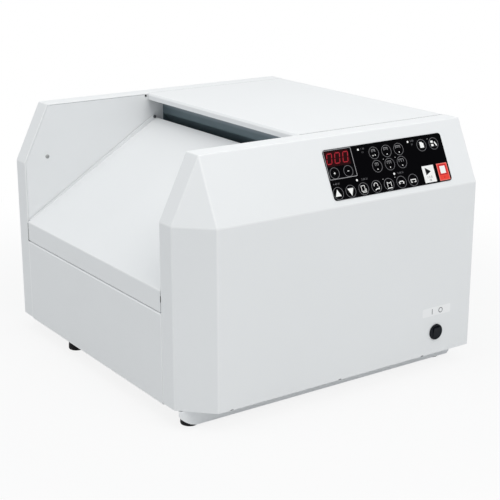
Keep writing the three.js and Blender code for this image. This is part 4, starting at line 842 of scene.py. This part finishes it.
for name, ink, outer, inner in [
        ("stop_border_print", PRINT_PINK, stop_key, rounded_box(174.9, 10.3, 192.3, 33.1, 0.4)),
        ("stop_frame_print", PRINT_DARK_RED, rounded_box(176.8, 17.4, 190.4, 32.0, 0.4),
         rounded_box(178.0, 18.6, 189.2, 30.8, 0.3))]:
    printed(name, ink, frames=[(outer, inner)], low=KEY_TOP, high=KEY_TOP + PRINT / 2)
printed("stop_square_print", PRINT_WHITE, [rounded_box(178.8, 19.4, 188.4, 30.0, 0.3)],
        low=KEY_TOP, high=KEY_TOP + PRINT)

# %% [markdown]
# Small numbers stand beside the keys. Each is set in the built-in font and becomes a plain thin mesh.

# %% Plain numbers
def numbers(name, marks, material, size, height):
    """Small printed numbers, each given as (text, x, y) in millimetres."""
    bm = bmesh.new()
    for text, x, y in marks:
        curve = bpy.data.curves.new("number", "FONT")
        curve.body = text
        curve.size = size * MM
        curve.align_x = "CENTER"
        curve.align_y = "CENTER"
        curve.extrude = PRINT * MM
        holder = bpy.data.objects.new("number", curve)
        scene.collection.objects.link(holder)
        bpy.context.view_layer.update()
        mesh = bpy.data.meshes.new_from_object(holder.evaluated_get(bpy.context.evaluated_depsgraph_get()))
        mesh.transform(Matrix.Translation((x * MM, y * MM, height * MM)))
        bm.from_mesh(mesh)
        bpy.data.objects.remove(holder)
    bmesh.ops.remove_doubles(bm, verts=bm.verts, dist=1e-7)
    bm.transform(ON_SLOPE)
    return dressed(bm, name, material, "root", weighted=False)


PANEL_NUMBERS = [("1 10", 53.6, 71.2), ("11", 52.8, 66.2), ("5 50", 141.8, 71.3), ("51", 140.9, 66.3),
                 ("2 20 21", 44.4, 30.2), ("3 30 31", 108.0, 30.3), ("4 40 41", -3.4, 29.8)]
numbers("panel_numbers", PANEL_NUMBERS, PRINT_DIM, 3.6, FILM_TOP)
numbers("start_numbers", [("1 2 3", 157.0, 17.2), ("10", 157.0, 12.8)], PRINT_BLACK, 4.4, KEY_TOP)
numbers("stop_numbers", [("0", 183.6, 13.6)], PRINT_DARK_RED, 4.4, KEY_TOP)

# %% [markdown]
# Each cover has three half-round notches in its lower edge, where it hooks on the base. The shade in each
# notch is painted: a thin dark plate on the face of the sheet.

# %% Notches at the covers' lower edges
NOTCH_PLACES = (-178.0, 0.0, 150.8)
ON_BACK = Matrix.Scale(-1, 4, (0, 1, 0)) @ ON_FRONT
UNDER_MM = near_low.z / MM
NOTCH_RADIUS = 2.8
NOTCH_SQUASH = 0.45
notches = [[(x + a, UNDER_MM + 0.1 + NOTCH_SQUASH * b) for a, b in arc((0, 0), NOTCH_RADIUS, 0, 180, 12)]
           for x in NOTCH_PLACES]
# Each notch is painted shade: a thin plate of dim ink.
for side, sheet in (("near", ON_FRONT), ("far", ON_BACK)):
    printed(side + "_cover_notches", PRINT_DIM, notches, place=sheet, low=-0.1, high=0.02)

# %% [markdown]
# The power switch is a round snap-in rocker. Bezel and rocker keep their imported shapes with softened
# edges, and a turned ring rounds the bezel's rim. Above it lies a pale sticker with the two common marks,
# a bar and a ring.

# %% Power switch
folded_copy("power_switch_bezel", "switch_bezel", BLACK_PLASTIC, "root", edge=0.35 * MM)
folded_copy("power_rocker", "switch_rocker", BLACK_PLASTIC, "rocker", edge=0.5 * MM)
SWITCH_X = 174.6
rim_low, rim_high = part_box("power_switch_bezel")
RIM = (rim_high.x - rim_low.x) / 2
STICKER_BOX = (148.5, 85.6, 201.5, 98.4)
STICKER_Y = (STICKER_BOX[1] + STICKER_BOX[3]) / 2
RING_PROFILE = [(0.80, 0.6), (0.80, -0.3), (0.83, -0.44), (0.965, -0.44), (0.99, -0.25), (1.0, 0.05),
                (1.0, 1.98), (0.80, 1.98), (0.80, 0.6)]
bm = bmesh.new()
rim_middle = middle("power_switch_bezel")
revolved(bm, [(share * RIM, rim_low.y + (0.4 + depth) * MM) for share, depth in RING_PROFILE],
         (rim_middle.x, 0, rim_middle.z), "Y", 64)
bmesh.ops.remove_doubles(bm, verts=bm.verts, dist=1e-7)
bmesh.ops.recalc_face_normals(bm, faces=bm.faces)
dressed(bm, "switch_ring", BLACK_PLASTIC, "root")
printed("switch_sticker", STICKER, [rounded_box(*STICKER_BOX, 2.0)], place=ON_FRONT, low=0.02, high=0.14)
printed("switch_sticker_marks", PRINT_DIM, place=ON_FRONT, low=0.14, high=0.17,
        strokes=[(1.2, [(SWITCH_X - 8, STICKER_Y - 4), (SWITCH_X - 8, STICKER_Y + 4)])],
        frames=[(full_circle((SWITCH_X + 8, STICKER_Y), 4), full_circle((SWITCH_X + 8, STICKER_Y), 2.9))])

# %% [markdown]
# Screws repeat all round the machine: pan heads with a cross recess. One screw head is modelled, and a
# tree sets a copy at every point, turned to the direction stored in the point's aim attribute.

# %% Screws
SCREW_RADIUS = 3.2
SCREW_HEIGHT = 1.3
SCREW_STEPS = 20
HEAD_PROFILE = [(0, -0.4), (0.85, -0.4), (1.0, 0.0), (1.0, 0.35), (0.9, 0.7), (0.68, 0.92), (0.4, 1.0),
                (0, 1.0)]
WALL_SCREW = (-202 * MM, 279.5 * MM)
HOOK_Y = 262 * MM
SCREW_INSET = 12 * MM
SCREW_RISE = 16 * MM


def scratch_object(name, bm):
    mesh = bpy.data.meshes.new(name)
    bm.to_mesh(mesh)
    bm.free()
    obj = bpy.data.objects.new(name, mesh)
    scene.collection.objects.link(obj)
    return obj


def screw_head():
    bm = bmesh.new()
    revolved(bm, [(r * SCREW_RADIUS * MM, z * SCREW_HEIGHT * MM) for r, z in HEAD_PROFILE], (0, 0, 0),
             steps=SCREW_STEPS)
    head = scratch_object("screw_head", bm)
    bm = bmesh.new()
    arm, width = SCREW_RADIUS * 0.55, SCREW_RADIUS * 0.2
    cross = [(width, arm), (-width, arm), (-width, width), (-arm, width), (-arm, -width), (-width, -width),
             (-width, -arm), (width, -arm), (width, -width), (arm, -width), (arm, width), (width, width)]
    add_slab(bm, cross, SCREW_HEIGHT * 0.3, SCREW_HEIGHT * 2)
    cutter = scratch_object("screw_cross", bm)
    cut = head.modifiers.new("cross", "BOOLEAN")
    cut.operation = "DIFFERENCE"
    cut.object = cutter
    cut.solver = "EXACT"
    result = bpy.data.meshes.new_from_object(head.evaluated_get(bpy.context.evaluated_depsgraph_get()))
    head.modifiers.clear()
    head.data = result
    bpy.data.objects.remove(cutter)
    return head


COPIES, copy_socket = copying_tree(
    "copies_at_points", {"Piece": "Object"},
    {"piece": ("GeometryNodeObjectInfo", {}), "turn": ("FunctionNodeAlignRotationToVector", {}),
     "aim": ("GeometryNodeInputNamedAttribute", {"data_type": "FLOAT_VECTOR", "Name": "aim"})}, """
    start.Piece > piece.Object
    aim.Attribute > turn.Vector
    piece.Geometry > copies.Instance
    turn.Rotation > copies.Rotation
""")
head = screw_head()


def screws(name, points, metal):
    from_nodes(name, points, COPIES, {copy_socket["Piece"]: head, copy_socket["Finish"]: metal},
               Matrix.Identity(4), metal)


INNER_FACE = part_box("far_cover")[0].y
rear_low, rear_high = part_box("rear_end_panel")
infeed_low, infeed_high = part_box("infeed_panel")
end_places = [(y, z) for y in (rear_low.y + SCREW_INSET, rear_high.y - SCREW_INSET)
              for z in (rear_low.z + SCREW_RISE, rear_high.z - SCREW_RISE)]
end_places += [(y, infeed_low.z + SCREW_INSET)
               for y in (infeed_low.y + SCREW_INSET, infeed_high.y - SCREW_INSET)]
screws("wall_screws", [(Vector((WALL_SCREW[0], side * INNER_FACE, WALL_SCREW[1])), Vector((0, -side, 0)))
                       for side in (-1, 1)], ZINC)
screws("end_panel_screws", [(Vector((rear_high.x, y, z)), Vector((1, 0, 0))) for y, z in end_places], ZINC)
screws("cover_bottom_screws", [(Vector((x * MM, side * HOOK_Y, near_low.z)), Vector((0, 0, -1)))
                               for side in (-1, 1) for x in NOTCH_PLACES], DARK_SCREW)

# %% [markdown]
# Strips and buttons of black rubber sit at the ends of the deck's lip, beside the lid and at its left
# corners, where the moving sheets meet the fixed housing. Grey beads along the lid's far side and the
# housings' rims are painted shade: each stands for the dark line of a seam. A strip of the palest paint in
# each side seam of the left end panel is a painted highlight.

# %% Rubber strips and buttons
def bar(name, x, y, z, corner=0.3, material=FOOT_RUBBER, place=None):
    """A block with rounded edges between two corners, in metres, laid by a matrix if there is one."""
    bm = bmesh.new()
    bmesh.ops.create_cube(bm, size=1.0)
    for v in bm.verts:
        v.co = Vector([low + (c + 0.5) * (high - low) for c, (low, high) in zip(v.co, (x, y, z))])
    bevelled(bm, list(bm.edges), corner * MM, 2)
    if place:
        bm.transform(place)
    return dressed(bm, name, material, "root", weighted=bool(place))


deck_low, deck_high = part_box("deck")
lid_low, lid_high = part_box("top_cover")
panel_low, panel_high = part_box("lower_left_panel")
GAP = 0.15 * MM
face = (deck_low.x, deck_low.x + 3 * MM)
bar("lip_strip_far", face, (deck_high.y + GAP, INNER_FACE + 0.7 * MM),
    (deck_low.z + 1.5 * MM, deck_low.z + 27 * MM), 0.1)
bar("lip_button_far", face, (deck_high.y + GAP, INNER_FACE + 1.6 * MM),
    (deck_low.z - 1.5 * MM, deck_low.z + 1.3 * MM), 0.4)
bar("lip_button_near", face, (-INNER_FACE - 1.4 * MM, deck_low.y - GAP),
    (deck_low.z + 14 * MM, deck_low.z + 22 * MM), 0.4)
lid_span = (lid_low.x + 3 * MM, lid_high.x - 6 * MM)
# The far strip is painted shade: a grey line for the seam between the lid and the far housing.
bar("lid_strip_far", lid_span, (lid_high.y + GAP, INNER_FACE - 0.02 * MM),
    (lid_high.z - 9 * MM, lid_high.z - 0.05 * MM), 0.05, SEAM_SHADE_GREY)
bar("lid_strip_near", lid_span, (-INNER_FACE + 0.02 * MM, lid_low.y - GAP),
    (lid_high.z - 9 * MM, lid_high.z - 0.5 * MM), 0.1)
BUTTON_PROFILE = [(0.0, -0.2), (1.7, -0.2), (1.7, 0.7), (1.1, 1.2), (0.0, 1.2)]
for end, side in (("near", -1), ("far", 1)):
    # Each left seam strip is a painted highlight: the palest paint filling the seam, so it shows bright.
    wall = sorted((side * (INNER_FACE + 0.26 * MM), side * (panel_high.y - 0.24 * MM)))
    bar("left_seam_" + end, (panel_low.x + 0.03 * MM, panel_low.x + 1 * MM), wall,
        (near_low.z + 1 * MM, panel_high.z - 1 * MM), 0.02, SEAM_HIGHLIGHT_PAINT)
    # Each rim bead is painted shade: a grey line along the top of the housing's inner wall.
    wall = sorted((side * (INNER_FACE - 0.12 * MM), side * (INNER_FACE + 1 * MM)))
    bar("rim_bead_" + end, (-194 * MM, lid_low.x - 8 * MM), wall,
        (lid_high.z - 2.5 * MM, lid_high.z - 2.0 * MM), 0.1, SEAM_SHADE_GREY)
    bm = bmesh.new()
    revolved(bm, [(r * MM, h * MM) for r, h in BUTTON_PROFILE], (0, 0, 0), steps=24)
    bm.transform(Matrix.Translation((lid_low.x - 3.5 * MM, side * INNER_FACE, lid_high.z - 4.0 * MM))
                 @ Matrix.Rotation(side * math.pi / 2, 4, "X"))
    dressed(bm, "lid_button_" + end, FOOT_RUBBER, "root")

# %% [markdown]
# The fold head is the heart of the machine. Its rollers are steel shafts with a moulded rubber sleeve,
# ground round and then grooved so that paper dust has somewhere to go. The imported rollers are faceted, so
# each is turned again from its own measures: a sleeve, a shaft with chamfered ends, and, higher up, three
# tyres on nylon hubs. The head's own tilted frame is found here too, for the parts laid out on it further on.

# %% Rollers of the fold head
drive_axis, idle_axis = middle("fold_roller_drive"), middle("fold_roller_idle")
HEAD_SLOPE = math.atan2(idle_axis.z - drive_axis.z, idle_axis.x - drive_axis.x)
NIP = Vector(((drive_axis.x + idle_axis.x) / 2, 0, (drive_axis.z + idle_axis.z) / 2))
ROLLER_UP = 20 * MM
ON_HEAD = (Matrix.Translation(NIP) @ Matrix.Rotation(-HEAD_SLOPE, 4, "Y")
           @ Matrix.Translation((0, 0, -ROLLER_UP)))
HEAD_ALONG = Vector((math.cos(HEAD_SLOPE), 0, math.sin(HEAD_SLOPE)))
HEAD_UP = Vector((-math.sin(HEAD_SLOPE), 0, math.cos(HEAD_SLOPE)))
SLEEVE_HALF = INNER_FACE - 16 * MM
SLEEVE_CORNER = 1.2 * MM
GROOVE_PITCH = 12.2 * MM
GROOVE_WIDTH = 1.4 * MM
GROOVE_DEPTH = 0.6 * MM
FOLD_SHAFT = 6 * MM
DELIVERY_SHAFT = 4 * MM
TYRE_RADIUS = 12 * MM
TYRE_HALF = 14 * MM
TYRE_HUB = 8.4 * MM
TYRE_SHARES = (-0.68, 0.0, 0.68)
CHAMFER = 0.6 * MM


def grooved_sleeve(half, radius):
    points = [(0, -half), (radius - SLEEVE_CORNER, -half), (radius, -half + SLEEVE_CORNER)]
    count = int((half - GROOVE_PITCH) / GROOVE_PITCH)
    for i in range(-count, count + 1):
        low, high = i * GROOVE_PITCH - GROOVE_WIDTH / 2, i * GROOVE_PITCH + GROOVE_WIDTH / 2
        points += [(radius, low), (radius - GROOVE_DEPTH, low), (radius - GROOVE_DEPTH, high), (radius, high)]
    return points + [(radius, half - SLEEVE_CORNER), (radius - SLEEVE_CORNER, half), (0, half)]


def chamfered_rod(radius, low, high, chamfer=CHAMFER):
    return [(0, low), (radius - chamfer, low), (radius, low + chamfer), (radius, high - chamfer),
            (radius - chamfer, high), (0, high)]


def turned_piece(name, profiles, axis, material, body):
    """One or more profiles of (radius, place across the machine) turned about one axis."""
    bm = bmesh.new()
    for profile in profiles:
        revolved(bm, profile, (axis.x, 0, axis.z), "Y", 64)
    return dressed(bm, name, material, body)


for node, body in [("fold_roller_drive", "drive_roller"), ("fold_roller_idle", "idle_roller")]:
    low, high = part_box(node)
    radius = (high.x - low.x) / 2
    sleeve = turned_piece(node + "_sleeve", [grooved_sleeve(SLEEVE_HALF, radius)], middle(node),
                          ROLLER_RUBBER, body)
    turned_piece(node + "_shaft", [chamfered_rod(FOLD_SHAFT, low.y, high.y)], middle(node), STEEL, body)
    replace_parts(sleeve, node)
for node, body in [("delivery_roller_drive", "delivery_drive"), ("delivery_roller_idle", "delivery_idle")]:
    low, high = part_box(node)
    centres = [share * INNER_FACE for share in TYRE_SHARES]
    tyres = [chamfered_rod(TYRE_RADIUS, y - TYRE_HALF + 0.5 * MM, y + TYRE_HALF - 0.5 * MM) for y in centres]
    hubs = [chamfered_rod(TYRE_HUB, y - TYRE_HALF, y + TYRE_HALF) for y in centres]
    if node == "delivery_roller_drive":
        hubs.append(chamfered_rod(10.5 * MM, low.y + CHAMFER, low.y + 8 * MM, 0.4 * MM))
    rubber = turned_piece(node + "_tyres", tyres, middle(node), ROLLER_RUBBER, body)
    turned_piece(node + "_hubs", hubs, middle(node), NYLON, body)
    turned_piece(node + "_shaft", [chamfered_rod(DELIVERY_SHAFT, low.y, high.y)], middle(node), STEEL, body)
    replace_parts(rubber, node)

# %% [markdown]
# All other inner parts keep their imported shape, but no real edge is perfectly sharp: sheet has a small
# burr-free break, milled steel a chamfer, moulded plastic a radius. The table says how much each gets.

# %% Broken edges on the mechanism
EDGE_BREAKS = {
    0.15: "fold_motor_pinion knife_pinion_shaft jogger_pinion control_board drive_belt stop_belt",
    0.20: "side_plate_near side_plate_far lower_guide upper_guide exit_guide_left exit_guide_right "
          "fold_gear_drive fold_gear_idle jogger_near jogger_far knife_carriage deck_pivot_near "
          "deck_pivot_far",
    0.30: "knife_blade stapler_ram_near stapler_ram_far clincher_bar stop_bar stop_drive_pulley "
          "stop_idler_pulley mains_inlet",
    0.50: "fold_motor knife_motor stop_motor jogger_motor knife_guide stapler_rail power_supply "
          "staple_magazine_near staple_magazine_far",
    0.90: "stapler_head_near stapler_head_far",
}
for width, nodes_to_break in EDGE_BREAKS.items():
    for node in nodes_to_break.split():
        obj = frame["nodes"][node]
        body = obj.parent.name.split(":")[1]
        folded_copy(node, node + "_finished", obj.data.materials[0], body, edge=width * MM)

# %% [markdown]
# The motors are bought-in parts: a drawn can with a moulded black end cap, or a square stepper whose
# laminated middle is darker than its end bells. Each stapling head is a cast body with two screws in each
# of its side faces, and two more beside it on the rail.

# %% Motor caps and stapler screws
STEPPER = 21.3 * MM
END_BELL = 12.5 * MM  # longer than the bore that takes the pulley's shaft, so the core starts behind it
JOGGER_ALONG = -100 * MM
JOGGER_TOP = 58 * MM
STAPLER_Y = 66.3 * MM
STAPLER_HALF = 20 * MM
RAIL_SCREW = (73 * MM, 12 * MM, 80.35 * MM)  # along the path, to each side of a head, above the path
BODY_SCREWS = ((51.5 * MM, 14.5 * MM), (73.0 * MM, 58.0 * MM))
FOLD_SCREWS = (26 * MM, -230 * MM, -1)  # reach from the middle, place of the flange, the way it faces
KNIFE_SCREWS = (23 * MM, 223.4 * MM, 1)


def corner_screws(node, reach, flange, way):
    """Four screws round a motor's middle, on the flange that faces one way."""
    centre = middle(node)
    centre.y = flange
    return [(centre + (HEAD_ALONG * a + HEAD_UP * b) * reach, Vector((0, way, 0)))
            for a in (-1, 1) for b in (-1, 1)]


fold_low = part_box("fold_motor")[0].y
knife_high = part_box("knife_motor")[1].y
for node, radius, low, high in [("fold_motor", 25.4 * MM, fold_low - CHAMFER, fold_low + 8 * MM),
                                ("knife_motor", 22.4 * MM, knife_high - 7 * MM, knife_high + CHAMFER)]:
    turned_piece(node + "_cap", [chamfered_rod(radius, low, high)], middle(node), MOULDED_CAP, "root")
stop_low, stop_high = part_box("stop_motor")
stop_middle = ON_HEAD.inverted() @ middle("stop_motor")
bar("stop_motor_core", (stop_middle.x - STEPPER, stop_middle.x + STEPPER),
    (stop_low.y + END_BELL, stop_high.y - END_BELL), (stop_middle.z - STEPPER, stop_middle.z + STEPPER), 0.2,
    MOULDED_CAP, ON_HEAD)
bm = bmesh.new()
revolved(bm, chamfered_rod(18.4 * MM, JOGGER_TOP - 6 * MM, JOGGER_TOP + CHAMFER), (JOGGER_ALONG, 0, 0),
         steps=64)
bm.transform(ON_HEAD)
dressed(bm, "jogger_motor_cap", MOULDED_CAP, "root")
along, apart, up = RAIL_SCREW
screws("stapler_rail_screws", [(ON_HEAD @ Vector((along, side * (STAPLER_Y + end * apart), up)), HEAD_UP)
                               for side in (-1, 1) for end in (-1, 1)], STEEL)
screws("stapler_body_screws",
       [(ON_HEAD @ Vector((x, side * STAPLER_Y + face * STAPLER_HALF, z)), Vector((0, face, 0)))
        for side in (-1, 1) for face in (-1, 1) for x, z in BODY_SCREWS], STEEL)
screws("fold_motor_screws", corner_screws("fold_motor", *FOLD_SCREWS), STEEL)
screws("knife_motor_screws", corner_screws("knife_motor", *KNIFE_SCREWS), STEEL)
bpy.data.objects.remove(head)

# %% [markdown]
# The panel's circuit board carries one small push switch under every key, each with a pale plunger, and on
# its back a processor, driver chips and their rows of legs. The mains inlet's pins are plated.

# %% Board and inlet details
BOARD_TOP = -11.0
BOARD_BACK = -12.6
CHIPS = [(52.0, 42.0, 14.0, 14.0), (88.0, 46.0, 10.0, 6.0), (112.0, 46.0, 10.0, 6.0),
         (136.0, 30.0, 12.0, 8.0), (160.0, 48.0, 8.0, 5.0), (24.0, 24.0, 9.0, 5.0)]
LEG_PITCH = 1.27
SWITCH_PLACES = KEY_PLACES + SMALL_KEY_PLACES + [(157.4, 21.8), (183.6, 21.7)]
SWITCH_HALF = 2.8
LEG_REACH = 1.2


def chip_legs():
    for x, t, wide, tall in CHIPS:
        count = int(wide / LEG_PITCH) - 1
        for i in range(count):
            place = x + (i - (count - 1) / 2) * LEG_PITCH
            yield 0.5, [(place, t - tall / 2 - LEG_REACH), (place, t + tall / 2 + LEG_REACH)]


printed("board_key_switches", CHIP_BLACK,
        [box_about(x, t, 2 * SWITCH_HALF, 2 * SWITCH_HALF, 0.4, 2) for x, t in SWITCH_PLACES],
        low=BOARD_TOP - 0.05, high=BOARD_TOP + 3.4)
printed("board_key_plungers", NYLON, [full_circle(place, 1.6, 20) for place in SWITCH_PLACES],
        low=BOARD_TOP + 3.35, high=BOARD_TOP + 5.0)
printed("board_chips", CHIP_BLACK, [box_about(*chip, 0.3, 2) for chip in CHIPS],
        low=BOARD_BACK - 1.6, high=BOARD_BACK + 0.05)
printed("board_chip_legs", PLATED, strokes=chip_legs(), low=BOARD_BACK - 0.5, high=BOARD_BACK + 0.05)
PIN_PITCH = 8 * MM
PIN_RADIUS = 1.2 * MM
PIN_STEPS = 16
inlet_middle = middle("mains_inlet")
inlet_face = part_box("mains_inlet")[1].x
pin_foot, pin_tip = inlet_face - 20 * MM, inlet_face - 5.8 * MM
bm = bmesh.new()
for place, rise in ((-1, -1), (0, 1), (1, -1)):
    centre = (inlet_middle.y + place * PIN_PITCH, inlet_middle.z + rise * PIN_RADIUS)
    rings = [[bm.verts.new((x, y, z)) for y, z in full_circle(centre, PIN_RADIUS * share, PIN_STEPS)]
             for x, share in ((pin_foot, 1.12), (pin_tip - 1 * MM, 1.12), (pin_tip, 0.8))]
    for low_ring, high_ring in zip(rings, rings[1:]):
        for i in range(PIN_STEPS):
            j = (i + 1) % PIN_STEPS
            bm.faces.new((low_ring[i], low_ring[j], high_ring[j], high_ring[i]))
    bm.faces.new(rings[0][::-1])
    bm.faces.new(rings[-1])
bmesh.ops.recalc_face_normals(bm, faces=bm.faces)
dressed(bm, "inlet_pins", PLATED, "root")
